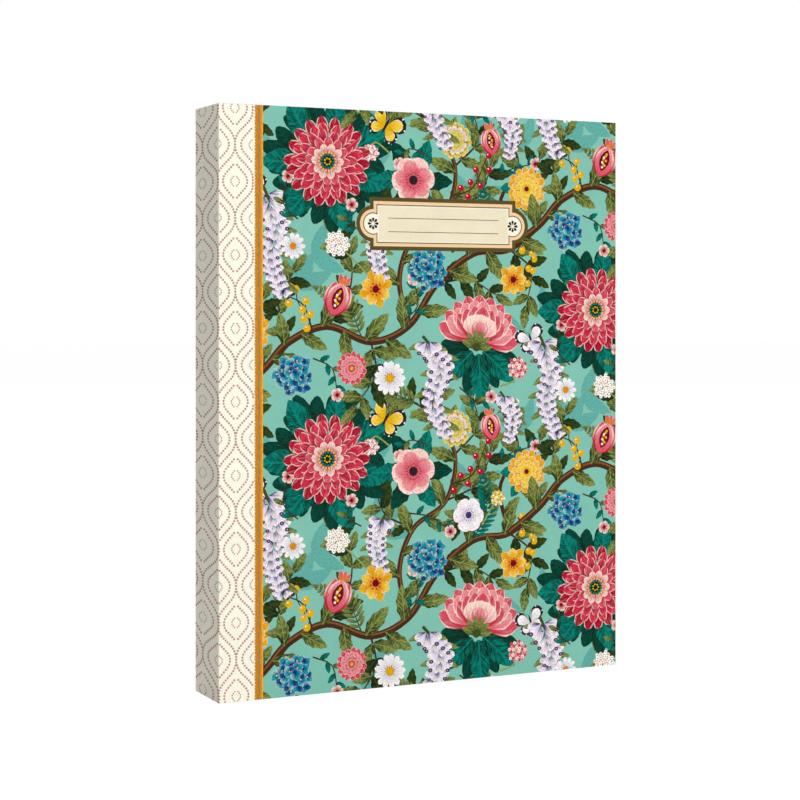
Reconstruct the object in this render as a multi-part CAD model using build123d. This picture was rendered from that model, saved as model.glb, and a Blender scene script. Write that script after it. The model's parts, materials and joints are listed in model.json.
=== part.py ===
from build123d import *
import os
from math import cos, hypot, radians, sin, tan

# An address book bound in boards, standing on its tail edge with its spine at -X and its front at -Y.
# Millimetres. X runs from the spine to the fore edge, Y from the front cover to the back cover, Z up.
# The origin is the middle of the foot of the book.

# The case
book_width = 171.0
book_height = 220.0
board_thickness = 2.5
spine_board_thickness = 2.0
covering_thickness = 0.25
turn_in_width = 15.0
edge_radius = 0.2
square = 3.0
hinge_inset = 3.7
swing_clearance = 0.3
bend_gap = 0.05
cut_overrun = 1.0

# The paper on the outside
quarter_width = 13.9
ribbon_width = 3.5
ribbon_crown = 0.15
label_width = 63.3
label_height = 20.2
label_ear_radius = 7.0
label_ear_reach = 5.7
label_corner_radius = 0.3
label_centre_from_spine = 92.6
label_centre_below_head = 43.0
label_thickness = 0.15

# The endpapers
endpaper_thickness = 0.15
endpaper_gap = 0.1
flyleaf_turn_degrees = 138.0
flyleaf_corner_clearance = 2.3

# The block of letter sections
letters = ["a", "b", "c", "d", "e", "f", "g", "h", "i", "j", "k", "l"]
letters = letters + ["m", "n", "o", "p", "q", "r", "s", "t", "u", "v", "w", "xyz"]
leaf_thickness = 0.11
leaf_count = 6
section_gap = 0.11
hollow_gap = 0.1
lining_thickness = 0.15
mull_thickness = 0.15
index_depth = 8.0
index_outer_radius = 2.2
index_inner_radius = 1.0
first_section_turn_degrees = 132.0
turned_clearance = 0.08
first_bend_step = 1.8

# The bands at the head and tail of the block's back
band_bead_diameter = 1.7
band_tongue_height = 12.0
band_tongue_gap = 1.0

# Sizes worked out from those above
section_count = len(letters)
section_thickness = leaf_thickness * leaf_count
section_pitch = section_thickness + section_gap
block_half = (section_count * section_pitch - section_gap) / 2
flyleaf_y0 = block_half + section_gap
flyleaf_y1 = flyleaf_y0 + endpaper_thickness
pastedown_y0 = flyleaf_y1 + endpaper_gap
turn_in_y0 = pastedown_y0 + endpaper_thickness
board_y0 = turn_in_y0 + covering_thickness
board_y1 = board_y0 + board_thickness
cover_face = board_y1 + covering_thickness
book_thickness = 2 * cover_face

spine_face = -book_width / 2
fore_face = book_width / 2
spine_board_x0 = spine_face + covering_thickness
spine_board_x1 = spine_board_x0 + spine_board_thickness
spine_turn_in_x1 = spine_board_x1 + covering_thickness
lining_x0 = spine_turn_in_x1 + hollow_gap
mull_x0 = lining_x0 + lining_thickness
block_back = mull_x0 + mull_thickness
block_fore = fore_face - square
block_z0 = square
block_z1 = book_height - square
block_height = block_z1 - block_z0

hinge_x = spine_face + hinge_inset
hinge_y = (board_y0 + board_y1) / 2
spine_corner_radius = hypot(hinge_inset, cover_face - hinge_y)
board_x0 = hinge_x + spine_corner_radius + swing_clearance
board_x1 = fore_face - covering_thickness
board_z0 = covering_thickness
board_z1 = book_height - covering_thickness
quarter_x1 = spine_face + quarter_width
ribbon_x1 = quarter_x1 + ribbon_width
tab_height = block_height / section_count
lining_z0 = block_z0 + band_tongue_height + band_tongue_gap
lining_z1 = block_z1 - band_tongue_height - band_tongue_gap

# The flyleaf bends where it passes clear of the spine's corner when it is fully turned
flyleaf_y = (flyleaf_y0 + flyleaf_y1) / 2
flyleaf_drop = cover_face + flyleaf_corner_clearance - flyleaf_y
flyleaf_bend_x = spine_turn_in_x1 - flyleaf_drop / tan(radians(flyleaf_turn_degrees))


def solid_box(x_range, y_range, z_range):
    size = [high - low for low, high in (x_range, y_range, z_range)]
    centre = [(low + high) / 2 for low, high in (x_range, y_range, z_range)]
    return Pos(*centre) * Box(*size)


def to_back(part):
    # The back cover is the front cover seen in a mirror
    return mirror(part, about=Plane.XZ)


def section_turn(index):
    # Each section turns less than the one in front of it, so the block fans out evenly
    return first_section_turn_degrees * (section_count - index) / section_count


def section_y(index):
    return -block_half + section_thickness / 2 + index * section_pitch


def bend_step(turn):
    # The bend of a section lies this much further from the spine than the bend in front of it,
    # so that the turned leaves lie side by side in the gutter and don't cross
    needed = section_thickness + turned_clearance - section_pitch * cos(radians(turn))
    return max(needed / sin(radians(turn)), bend_gap)


def section_bend_x(index):
    steps = [bend_step(section_turn(number)) for number in range(1, index + 1)]
    return flyleaf_bend_x + first_bend_step + sum(steps)


def cover_wrap(x0, x1, has_fore_edge):
    # A sheet pasted round the board: over its face, its head and tail and, at the fore edge, round it too
    y_range = (-cover_face, -turn_in_y0)
    sheet = solid_box((x0, x1), y_range, (0, book_height))
    edges = sheet.edges().filter_by(Axis.X).sort_by(Axis.Y)[0:2]
    if has_fore_edge:
        fore = sheet.edges().filter_by(Axis.Z).sort_by(Axis.Y)[0:2].sort_by(Axis.X)[-1]
        edges = edges + [fore]
    sheet = fillet(edges, edge_radius)
    board_space_x1 = board_x1 if has_fore_edge else x1 + cut_overrun
    window_x1 = board_x1 - turn_in_width if has_fore_edge else x1 + cut_overrun
    board_range = (x0 - cut_overrun, board_space_x1)
    sheet -= solid_box(board_range, (-board_y1, -board_y0), (board_z0, board_z1))
    window_z = (board_z0 + turn_in_width, board_z1 - turn_in_width)
    window_y = (-board_y0 - covering_thickness, -turn_in_y0 + cut_overrun)
    sheet -= solid_box((x0 - cut_overrun, window_x1), window_y, window_z)
    return sheet


def cover_board():
    return solid_box((board_x0, board_x1), (-board_y1, -board_y0), (board_z0, board_z1))


def cover_paper():
    return cover_wrap(ribbon_x1, fore_face, True)


def quarter_paper():
    return cover_wrap(board_x0, quarter_x1, False)


def ribbon():
    # The ribbon fills the seam between the two papers and stands a little proud of them
    strip = cover_wrap(quarter_x1, ribbon_x1, False)
    crown_y = (-cover_face - ribbon_crown, -board_y1)
    crown_z = (edge_radius, book_height - edge_radius)
    crown = solid_box((quarter_x1, ribbon_x1), crown_y, crown_z)
    long_edges = crown.edges().filter_by(Axis.Z).sort_by(Axis.Y)[0:2]
    crown = chamfer(long_edges, ribbon_crown)
    return strip + crown


def joint_paper():
    # The covering paper between the spine and the board, with its turned-in ends; it bends as the cover opens
    x_range = (spine_turn_in_x1, board_x0 - bend_gap)
    sheet = solid_box(x_range, (-cover_face, -board_y1 + covering_thickness), (0, book_height))
    edges = sheet.edges().filter_by(Axis.X).sort_by(Axis.Y)[0:2]
    sheet = fillet(edges, edge_radius)
    hollow_x = (x_range[0] - cut_overrun, x_range[1] + cut_overrun)
    hollow_y = (-board_y1, -board_y1 + covering_thickness + cut_overrun)
    turned_z = (board_z0 + turn_in_width, board_z1 - turn_in_width)
    return sheet - solid_box(hollow_x, hollow_y, turned_z)


def pastedown():
    # The endpaper half pasted to the board: it steps up over the turned-in edges of the covering
    x_range = (board_x0, block_fore)
    z_range = (block_z0, block_z1)
    sheet = solid_box(x_range, (-board_y0, -pastedown_y0), z_range)
    turn_x = board_x1 - turn_in_width
    turn_z = (board_z0 + turn_in_width, board_z1 - turn_in_width)
    under_y = (-board_y0 - cut_overrun, -turn_in_y0)
    head_strip = (turn_z[1], block_z1 + cut_overrun)
    tail_strip = (block_z0 - cut_overrun, turn_z[0])
    whole_x = (board_x0 - cut_overrun, block_fore + cut_overrun)
    sheet -= solid_box(whole_x, under_y, head_strip)
    sheet -= solid_box(whole_x, under_y, tail_strip)
    fore_strip = (turn_x, block_fore + cut_overrun)
    sheet -= solid_box(fore_strip, under_y, (block_z0 - cut_overrun, block_z1 + cut_overrun))
    dip_x = (board_x0 - cut_overrun, turn_x - endpaper_thickness)
    dip_y = (-board_y0 + endpaper_thickness, -pastedown_y0 + cut_overrun)
    dip_z = (turn_z[0] + endpaper_thickness, turn_z[1] - endpaper_thickness)
    return sheet - solid_box(dip_x, dip_y, dip_z)


def endpaper_fold():
    # The folded edge of the endpaper at the block's shoulder: it joins the pastedown to the flyleaf and bends
    z_range = (block_z0, block_z1)
    board_side = solid_box((block_back, board_x0 - bend_gap), (-turn_in_y0, -pastedown_y0), z_range)
    leaf_end = flyleaf_bend_x - endpaper_thickness / 2 - bend_gap
    leaf_side = solid_box((block_back, leaf_end), (-flyleaf_y1, -flyleaf_y0), z_range)
    fold_x = (block_back, block_back + endpaper_thickness)
    fold = solid_box(fold_x, (-turn_in_y0, -flyleaf_y0), z_range)
    whole = board_side + leaf_side + fold
    shoulder = whole.edges().filter_by(Axis.Z).sort_by(Axis.X)[0:2]
    return fillet(shoulder, endpaper_thickness / 2)


def turning_sheet(bend_x, y, thickness):
    # A sheet from its bend to the fore edge, rounded about its bend line
    z_range = (block_z0, block_z1)
    sheet = solid_box((bend_x, block_fore), (y - thickness / 2, y + thickness / 2), z_range)
    middle_z = (block_z0 + block_z1) / 2
    return sheet + Pos(bend_x, y, middle_z) * Cylinder(thickness / 2, block_height)


def flyleaf():
    return turning_sheet(flyleaf_bend_x, -flyleaf_y, endpaper_thickness)


def section(index):
    # One letter's leaves: below its own tab the fore edge is cut back, so the tabs behind show as steps
    leaves = turning_sheet(section_bend_x(index), section_y(index), section_thickness)
    if index == section_count - 1:
        return leaves
    tab_foot = block_z1 - (index + 1) * tab_height
    step_x = block_fore - index_depth
    cut_y = (section_y(index) - section_thickness, section_y(index) + section_thickness)
    cut = solid_box((step_x, block_fore + cut_overrun), cut_y, (block_z0 - cut_overrun, tab_foot))
    inner = cut.edges().filter_by(Axis.Y).sort_by(Axis.Z)[-2:].sort_by(Axis.X)[0]
    cut = fillet(inner, index_inner_radius)
    leaves -= cut
    corner = leaves.edges().filter_by(Axis.Y).group_by(Axis.X)[-1].sort_by(Axis.Z)[0]
    return fillet(corner, index_outer_radius)


def section_back(index):
    # The folded back of a section, sewn and glued at the spine, up to the line where its leaves bend
    y = section_y(index)
    back_x = block_back + section_thickness / 2
    bend_x = section_bend_x(index) - section_thickness / 2 - bend_gap
    middle_z = (block_z0 + block_z1) / 2
    y_range = (y - section_thickness / 2, y + section_thickness / 2)
    fold = Pos(back_x, y, middle_z) * Cylinder(section_thickness / 2, block_height)
    back = solid_box((back_x, bend_x), y_range, (block_z0, block_z1)) + fold
    # The end is trimmed back where the leaves lie over it when they are fully turned
    reach = 3 * section_thickness
    room_y = (-section_thickness / 2 - bend_gap, section_thickness / 2 + bend_gap)
    room = solid_box((0, reach), room_y, (-cut_overrun, book_height + cut_overrun))
    return back - Pos(section_bend_x(index), y) * Rotation(0, 0, -section_turn(index)) * room


def spine_board():
    half = board_y1
    return solid_box((spine_board_x0, spine_board_x1), (-half, half), (board_z0, board_z1))


def spine_paper():
    # The covering paper round the spine board, with its ends turned in at the head and tail
    sheet = solid_box((spine_face, spine_turn_in_x1), (-cover_face, cover_face), (0, book_height))
    long_edges = sheet.edges().filter_by(Axis.Z).sort_by(Axis.X)[0:2]
    end_edges = sheet.edges().filter_by(Axis.Y).sort_by(Axis.X)[0:2]
    sheet = fillet(long_edges + end_edges, edge_radius)
    sheet -= solid_box((spine_board_x0, spine_board_x1), (-board_y1, board_y1), (board_z0, board_z1))
    window_x = (spine_board_x1 - covering_thickness, spine_turn_in_x1 + cut_overrun)
    window_z = (board_z0 + turn_in_width, board_z1 - turn_in_width)
    return sheet - solid_box(window_x, (-board_y1, board_y1), window_z)


def spine_lining():
    return solid_box((lining_x0, mull_x0), (-block_half, block_half), (lining_z0, lining_z1))


def spine_mull():
    return solid_box((mull_x0, block_back), (-block_half, block_half), (lining_z0, lining_z1))


def head_band():
    # A woven bead on the head of the block's back, with a tongue glued down behind it
    radius = band_bead_diameter / 2
    bead_x = mull_x0 + radius
    bead_z = block_z1 + radius
    bead = Pos(bead_x, 0, bead_z) * Rotation(90, 0, 0) * Cylinder(radius, 2 * block_half)
    tongue_z = (block_z1 - band_tongue_height, bead_z)
    return bead + solid_box((mull_x0, block_back), (-block_half, block_half), tongue_z)


def tail_band():
    return mirror(head_band(), about=Plane.XY.offset(book_height / 2))


def title_label():
    # A die-cut paper label with a round ear at each end
    plate = RectangleRounded(label_width, label_height, label_corner_radius)
    ear_x = label_width / 2 + label_ear_reach - label_ear_radius
    for side in (-1, 1):
        plate += Pos(side * ear_x, 0) * Circle(label_ear_radius)
    centre_x = spine_face + label_centre_from_spine
    centre_z = book_height - label_centre_below_head
    label = extrude(Plane.XZ * plate, label_thickness)
    return Pos(centre_x, -cover_face, centre_z) * label


def all_parts():
    front = {
        "board": cover_board(),
        "cover_paper": cover_paper(),
        "quarter_paper": quarter_paper(),
        "ribbon": ribbon(),
        "joint_paper": joint_paper(),
        "pastedown": pastedown(),
        "endpaper_fold": endpaper_fold(),
        "flyleaf": flyleaf(),
    }
    parts = {}
    for name, part in front.items():
        parts["front_" + name] = part
        parts["back_" + name] = to_back(part)
    parts["title_label"] = title_label()
    parts["spine_board"] = spine_board()
    parts["spine_paper"] = spine_paper()
    parts["spine_lining"] = spine_lining()
    parts["spine_mull"] = spine_mull()
    parts["head_band"] = head_band()
    parts["tail_band"] = tail_band()
    parts["section_backs"] = Compound(children=[section_back(i) for i in range(section_count)])
    for index, letter in enumerate(letters):
        parts["section_" + letter] = section(index)
    return parts


def main():
    os.makedirs("parts", exist_ok=True)
    for name, part in all_parts().items():
        export_step(part, "parts/" + name + ".step")
        print(name, [round(size, 2) for size in part.bounding_box().size])
    print("thickness of the book", round(book_thickness, 2))
    print("bends of the sections", [round(section_bend_x(i) - spine_face, 2) for i in range(section_count)])


if __name__ == "__main__":
    main()
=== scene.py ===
import bpy
import json
import math
import random
import numpy as np
from functools import partialmethod
from mathutils import Matrix, Vector, geometry

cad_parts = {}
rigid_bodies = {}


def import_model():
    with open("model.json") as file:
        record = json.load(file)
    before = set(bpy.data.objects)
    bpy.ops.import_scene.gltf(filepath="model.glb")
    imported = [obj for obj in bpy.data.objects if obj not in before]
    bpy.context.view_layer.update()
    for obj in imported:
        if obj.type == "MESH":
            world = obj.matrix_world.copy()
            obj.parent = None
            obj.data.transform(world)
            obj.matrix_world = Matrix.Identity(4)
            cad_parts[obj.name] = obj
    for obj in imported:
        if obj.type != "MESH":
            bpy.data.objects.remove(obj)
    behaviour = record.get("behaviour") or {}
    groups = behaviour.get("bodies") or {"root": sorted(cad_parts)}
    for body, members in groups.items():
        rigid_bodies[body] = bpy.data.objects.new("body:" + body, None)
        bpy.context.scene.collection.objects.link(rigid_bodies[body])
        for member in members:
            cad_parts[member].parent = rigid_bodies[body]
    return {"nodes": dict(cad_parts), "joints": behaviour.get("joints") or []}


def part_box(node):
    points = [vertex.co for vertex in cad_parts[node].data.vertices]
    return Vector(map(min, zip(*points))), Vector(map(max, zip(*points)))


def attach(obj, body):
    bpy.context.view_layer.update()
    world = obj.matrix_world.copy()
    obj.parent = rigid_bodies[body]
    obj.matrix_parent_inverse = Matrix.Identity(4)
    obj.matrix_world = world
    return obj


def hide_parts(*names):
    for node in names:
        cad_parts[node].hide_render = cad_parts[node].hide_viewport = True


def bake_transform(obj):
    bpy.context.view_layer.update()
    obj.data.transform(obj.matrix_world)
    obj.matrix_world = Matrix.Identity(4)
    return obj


# The looks of an address book bound in boards. A printed paper is a flat sheet that is inked with layered
# shapes and then folded round its board. Pieces are laid out in millimetres, lamps and the camera in metres.

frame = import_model()
nodes = frame["nodes"]
joints = {joint["name"]: joint for joint in frame["joints"]}
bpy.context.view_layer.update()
MM = 0.001


def extent(node):
    # The lowest and highest corners of a node, in millimetres
    low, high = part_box(node)
    return np.array(low) / MM, np.array(high) / MM


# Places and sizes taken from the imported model
spine_low, spine_high = extent("spine_paper")
cover_low, cover_high = extent("front_cover_paper")
quarter_low, quarter_high = extent("front_quarter_paper")
ribbon_low, ribbon_high = extent("front_ribbon")
joint_low, joint_high = extent("front_joint_paper")
flyleaf_low, flyleaf_high = extent("front_flyleaf")
block_low, block_high = extent("section_a")
block_fore, block_foot, block_head = block_high[0], block_low[2], block_high[2]
label_low, label_high = extent("title_label")
pasted_face = extent("front_pastedown")[1][1]
block_back = extent("section_backs")[0][0]
cover_face = spine_high[1]
spine_face = spine_low[0]
# The foot of the case is at height 0, so the place of its head is also its height
head = cover_high[2]
wrap_edge = cover_high[1] - cover_low[1]
spine_edge = spine_high[0] - spine_face
ribbon_crown = cover_low[1] - ribbon_low[1]
letters = sorted(name.removeprefix("section_") for name in nodes
                 if name.startswith("section_") and name != "section_backs")

SIDES = (("front", False), ("back", True))

# Sizes of the covering papers; a flap is the depth of an edge and of the turn-in past it
TURN_IN = 15.0
EDGE_RADIUS = 0.2
CUT_TOLERANCE = 1e-5
REJOIN_TOLERANCE = 1e-6
STRAIGHT_TOLERANCE = 2e-4
BAKE_MARGIN = 0.01
NO_FLAP = (0, 0)
WRAP = (wrap_edge, TURN_IN)
EVERYWHERE = (-math.inf, math.inf)

# The printed cover
TILE = np.array([118.0, 112.0])
BACK_SHIFT = np.array([64.0, 30.0])
GOLDEN_ANGLE = 137.5

# The dotted paper: a lattice of ogee medallions, drawn out sideways on the spine
DOT_PERIOD = 27.06
DOT_COLUMN = 7.2
DOT_RADIUS = 0.44
DOT_LEAN = 0.07
DOT_FIRST_COLUMN = 6.5
DOT_CENTRE_BELOW_HEAD = 1.47
DOT_GAP_BY_RIBBON = 0.35
SPINE_STRETCH = 2.4
SPINE_COLUMN_FROM_CORNER = 17.5
JOINT_STRIPS = 11

# The ribbon
RIBBON_STITCH = 1.2
RIBBON_TOOTH = 0.4
RIBBON_SELVEDGE = 0.26
RIBBON_SLUB_PITCH = 14.6

# The title label
EAR_RADIUS = 7.0
LABEL_BODY_WIDTH = 63.3
LABEL_FIELD_INSET = 3.6
LABEL_RULES = (-3.0, 2.2)
LABEL_RULE_HALF_LENGTH = 24
LABEL_RULE_HALF_WIDTH = 0.12
LABEL_ROSETTE_PETALS = 8
LABEL_ROSETTE_PETAL = (0.45, 1.85, 1.15)

# The leaves and their tabs
TAB_HEIGHT = (block_head - block_foot) / len(letters)
INDEX_DEPTH = 8.0
INDEX_OUTER_RADIUS = 2.2
INDEX_INNER_RADIUS = 1.0
TAB_PRINT_MARGIN = 0.35
TAB_PRINT_FORE_MARGIN = 0.2
TAB_PRINT_INNER_MARGIN = 0.5
TAB_PRINT_RADIUS = 2
LETTER_SIZE = 5.6
TRIPLE_LETTER_SIZE = 3.3
INK_LIFT = 0.008
LEAVES = 6
LEAF_PITCH = (block_high[1] - block_low[1]) / LEAVES
LEAF_THICKNESS = LEAF_PITCH * 0.78
LEAF_MARGIN_SHARE = 0.11
LEAF_BACK_GAP = 0.1
FORE_WANDER = 0.14
HEAD_WANDER = 0.08
INDEX_WANDER = 0.05
RULE_PITCH = 8.5
RULES_ACROSS = (-46.0, 68.0)
RULES_UP = (14.0, 204.0)
BEND_LENGTH = 3.2

# The endpapers and the bands
ENDPAPER_THICKNESS = 0.15
THREAD_PITCH = 0.62
THREAD_DEPTH_SHARE = 0.14
RINGS_PER_THREAD = 6
CORD_SIDES = 20
TONGUE_THICKNESS = 0.13
TONGUE_STEPS = 60

# The set, in millimetres for the floor and in metres and watts for the lamps
FLOOR_HALF = 6000
FLOOR_DROP = 0.2
FLOOR_GLOW = 1.06
FLOOR_GLOW_SHARE = 0.9
WORLD_LIGHT = 0.375
LAMP_TARGET = (0.0, 0.0, 0.11)
LAMPS = (("key", (-0.3, -2.4, 0.3), 29.7, 0.6), ("rim", (0.9, 2.2, 0.9), 23.0, 1.0),
         ("fill", (1.7, 0.1, 0.7), 12.0, 1.2))

# The camera, fitted to the six corners of the book in the photograph
CAMERA_PLACE = (-0.32034, -0.65193, 0.14539)
CAMERA_HEADING = -25.764
CAMERA_LENS = 83.315
CAMERA_SENSOR = 36.0
CAMERA_SHIFT = -0.11683


# Colours

def srgb(*levels):
    # A colour as a picture editor gives it, made linear
    return tuple(((c / 255 + 0.055) / 1.055) ** 2.4 if c > 10 else c / 255 / 12.92 for c in levels)


TEAL = srgb(129, 194, 176)
TEAL_SHADE = srgb(98, 172, 162)
TEAL_TINT = srgb(150, 210, 196)
CREAM = srgb(253, 250, 233)
ROSE_DOT = srgb(188, 137, 126)
PALE_DOT = srgb(184, 140, 126)
BROWN_DOT = srgb(192, 146, 132)
PALE_BROWN_DOT = srgb(204, 176, 158)
CRIMSON = srgb(178, 16, 48)
ROSE = srgb(206, 44, 74)
CORAL = srgb(216, 82, 100)
PINK = srgb(232, 148, 152)
BLUSH = srgb(254, 226, 212)
WINE = srgb(112, 8, 36)
GOLD = srgb(226, 174, 14)
AMBER = srgb(222, 132, 14)
LEMON = srgb(244, 212, 76)
NIGHT_GREEN = srgb(12, 38, 22)
LEAF_SHADE = srgb(14, 30, 16)
DEEP_GREEN = srgb(0, 74, 60)
SEA_GREEN = srgb(6, 134, 120)
OLIVE = srgb(62, 76, 28)
MOSS = srgb(144, 156, 82)
BARK = srgb(72, 42, 26)
TWIG = srgb(126, 82, 40)
NAVY = srgb(16, 46, 92)
BLUE = srgb(0, 96, 150)
SKY = srgb(40, 156, 190)
LILAC = srgb(206, 190, 226)
WHITE = srgb(252, 248, 250)
MIST = srgb(220, 214, 220)
PALE_LILAC = srgb(214, 206, 216)
PALE_WING = srgb(216, 210, 214)
VIOLET = srgb(70, 48, 112)
INK = srgb(38, 34, 40)
OLIVE_BORDER = srgb(90, 78, 44)
PEACH = srgb(243, 208, 159)
BORDER_LINE = srgb(84, 62, 32)
LABEL_FIELD = srgb(239, 228, 198)
LABEL_DISC = srgb(247, 242, 222)
LABEL_EDGE = srgb(240, 232, 212)
LABEL_FRAME = ((0.0, OLIVE_BORDER), (1.5, PEACH), (2.75, BORDER_LINE), (3.1, LABEL_DISC))
SELVEDGE = srgb(253, 240, 202)
RIBBON_GOLD = srgb(198, 134, 26)
RIBBON_WARM = srgb(222, 108, 24)
RIBBON_PALE_MARK = srgb(190, 160, 96)
RIBBON_STRIPES = ((1.45, 2.2, srgb(176, 126, 56)), (2.2, 2.92, srgb(212, 134, 22)),
                  (2.92, 3.42, srgb(250, 180, 52)), (3.42, 3.5, srgb(206, 150, 48)))
PAGE = srgb(250, 247, 236)
RULE_INK = srgb(120, 176, 168)
LETTER_INK = srgb(28, 76, 72)
ENDPAPER = srgb(247, 241, 224)
KRAFT = srgb(190, 150, 104)
BOARD_SHADE = srgb(150, 142, 128)
BOARD_FIBRE = srgb(186, 178, 162)
MULL_SHADE = srgb(176, 168, 148)
MULL_THREAD = srgb(240, 234, 216)
GOLD_THREAD = srgb(226, 142, 28)
CREAM_THREAD = srgb(252, 244, 222)
TONGUE_CLOTH = srgb(240, 232, 210)
TAB_COLOURS = [srgb(150, 208, 196), srgb(246, 190, 190), srgb(250, 222, 150), srgb(196, 206, 150),
               srgb(214, 202, 230)]

# Palettes: pairs of colours for the root and the tip of a petal or a leaf
RED_PETALS = [(WINE, CRIMSON), (CRIMSON, ROSE), (WINE, ROSE), (CRIMSON, CORAL), (CRIMSON, BLUSH)]
PINK_PETALS = [(CRIMSON, CORAL), (CORAL, PINK), (CRIMSON, CORAL), (CORAL, BLUSH), (CRIMSON, PINK)]
DEEP_LEAF = (NIGHT_GREEN, DEEP_GREEN)
GREEN_LEAF = (DEEP_GREEN, SEA_GREEN)
OLIVE_LEAF = (OLIVE, MOSS)
PALE_LEAF = (TEAL_SHADE, TEAL_SHADE)


# Shader arithmetic

class Field:
    """A number that varies over a surface, combined with ordinary arithmetic."""

    def __init__(self, tree, socket):
        self.tree = tree
        self.socket = socket

    def math(self, operation, *values):
        inputs = dict(enumerate((self,) + values))
        return Field(self.tree, add_node(self.tree, "Math", inputs, operation=operation).outputs[0])

    __add__ = partialmethod(math, "ADD")
    __sub__ = partialmethod(math, "SUBTRACT")
    __mul__ = partialmethod(math, "MULTIPLY")
    __truediv__ = partialmethod(math, "DIVIDE")

    def __rsub__(self, other):
        return self * -1.0 + other

    def clamp(self):
        return Field(self.tree, add_node(self.tree, "Clamp", {0: self}).outputs[0])

    def smooth(self, low, high):
        node = add_node(self.tree, "MapRange", {0: self, 1: low, 2: high}, interpolation_type="SMOOTHSTEP")
        return Field(self.tree, node.outputs[0])

    def near(self, value):
        # 1 where the number is a given whole number, and 0 away from it
        return (self - value).math("ABSOLUTE").math("LESS_THAN", 0.5)


def feed(tree, value, socket):
    if isinstance(value, Field):
        value = value.socket
    if isinstance(value, bpy.types.NodeSocket):
        tree.links.new(value, socket)
    else:
        socket.default_value = value + (1.0,) if isinstance(value, tuple) else value


def add_node(tree, kind, inputs, **settings):
    # A shader node with its settings, and with inputs fed by name or by number
    node = tree.nodes.new("ShaderNode" + kind)
    for name, setting in settings.items():
        setattr(node, name, setting)
    for key, value in inputs.items():
        feed(tree, value, node.inputs[key])
    return node


class Finish:
    """A material with one Principled shader, and short calls for the nodes that feed it."""

    def __init__(self, name, roughness, specular):
        self.material = bpy.data.materials.new(name)
        self.material.use_nodes = True
        self.tree = self.material.node_tree
        self.shader = self.tree.nodes["Principled BSDF"]
        self.shader.inputs["Roughness"].default_value = roughness
        self.shader.inputs["Specular IOR Level"].default_value = specular

    def attribute(self, name, output="Fac"):
        return add_node(self.tree, "Attribute", {}, attribute_name=name).outputs[output]

    def split(self, vector):
        outputs = add_node(self.tree, "SeparateXYZ", {0: vector}).outputs
        return [Field(self.tree, output) for output in outputs]

    def join(self, x, y, z=0.0):
        return add_node(self.tree, "CombineXYZ", {0: x, 1: y, 2: z}).outputs[0]

    def noise(self, vector, scale, detail=2.0):
        node = add_node(self.tree, "TexNoise", {"Vector": vector, "Scale": scale, "Detail": detail})
        return Field(self.tree, node.outputs["Fac"])

    def mix(self, share, low, high, blend="MIX"):
        inputs = {0: share, 6: low, 7: high}
        return add_node(self.tree, "Mix", inputs, data_type="RGBA", blend_type=blend).outputs[2]

    def toned(self, colour, tone):
        # A colour made lighter or darker by a field
        return self.mix(1.0, colour, self.join(tone, tone, tone), "MULTIPLY")

    def place(self):
        # Where a point of the piece lies, in millimetres
        place = add_node(self.tree, "TexCoord", {}).outputs["Object"]
        return add_node(self.tree, "VectorMath", {0: place, "Scale": 1 / MM}, operation="SCALE").outputs[0]

    def colour(self, value):
        feed(self.tree, value, self.shader.inputs["Base Color"])

    def bump(self, height, strength, distance):
        node = add_node(self.tree, "Bump", {"Strength": strength, "Distance": distance, "Height": height})
        self.tree.links.new(node.outputs[0], self.shader.inputs["Normal"])


# Kinds of inked shape, as the print's shader tells them apart
GROUND, PETAL, LEAF, STEM, DOT = range(5)


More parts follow.
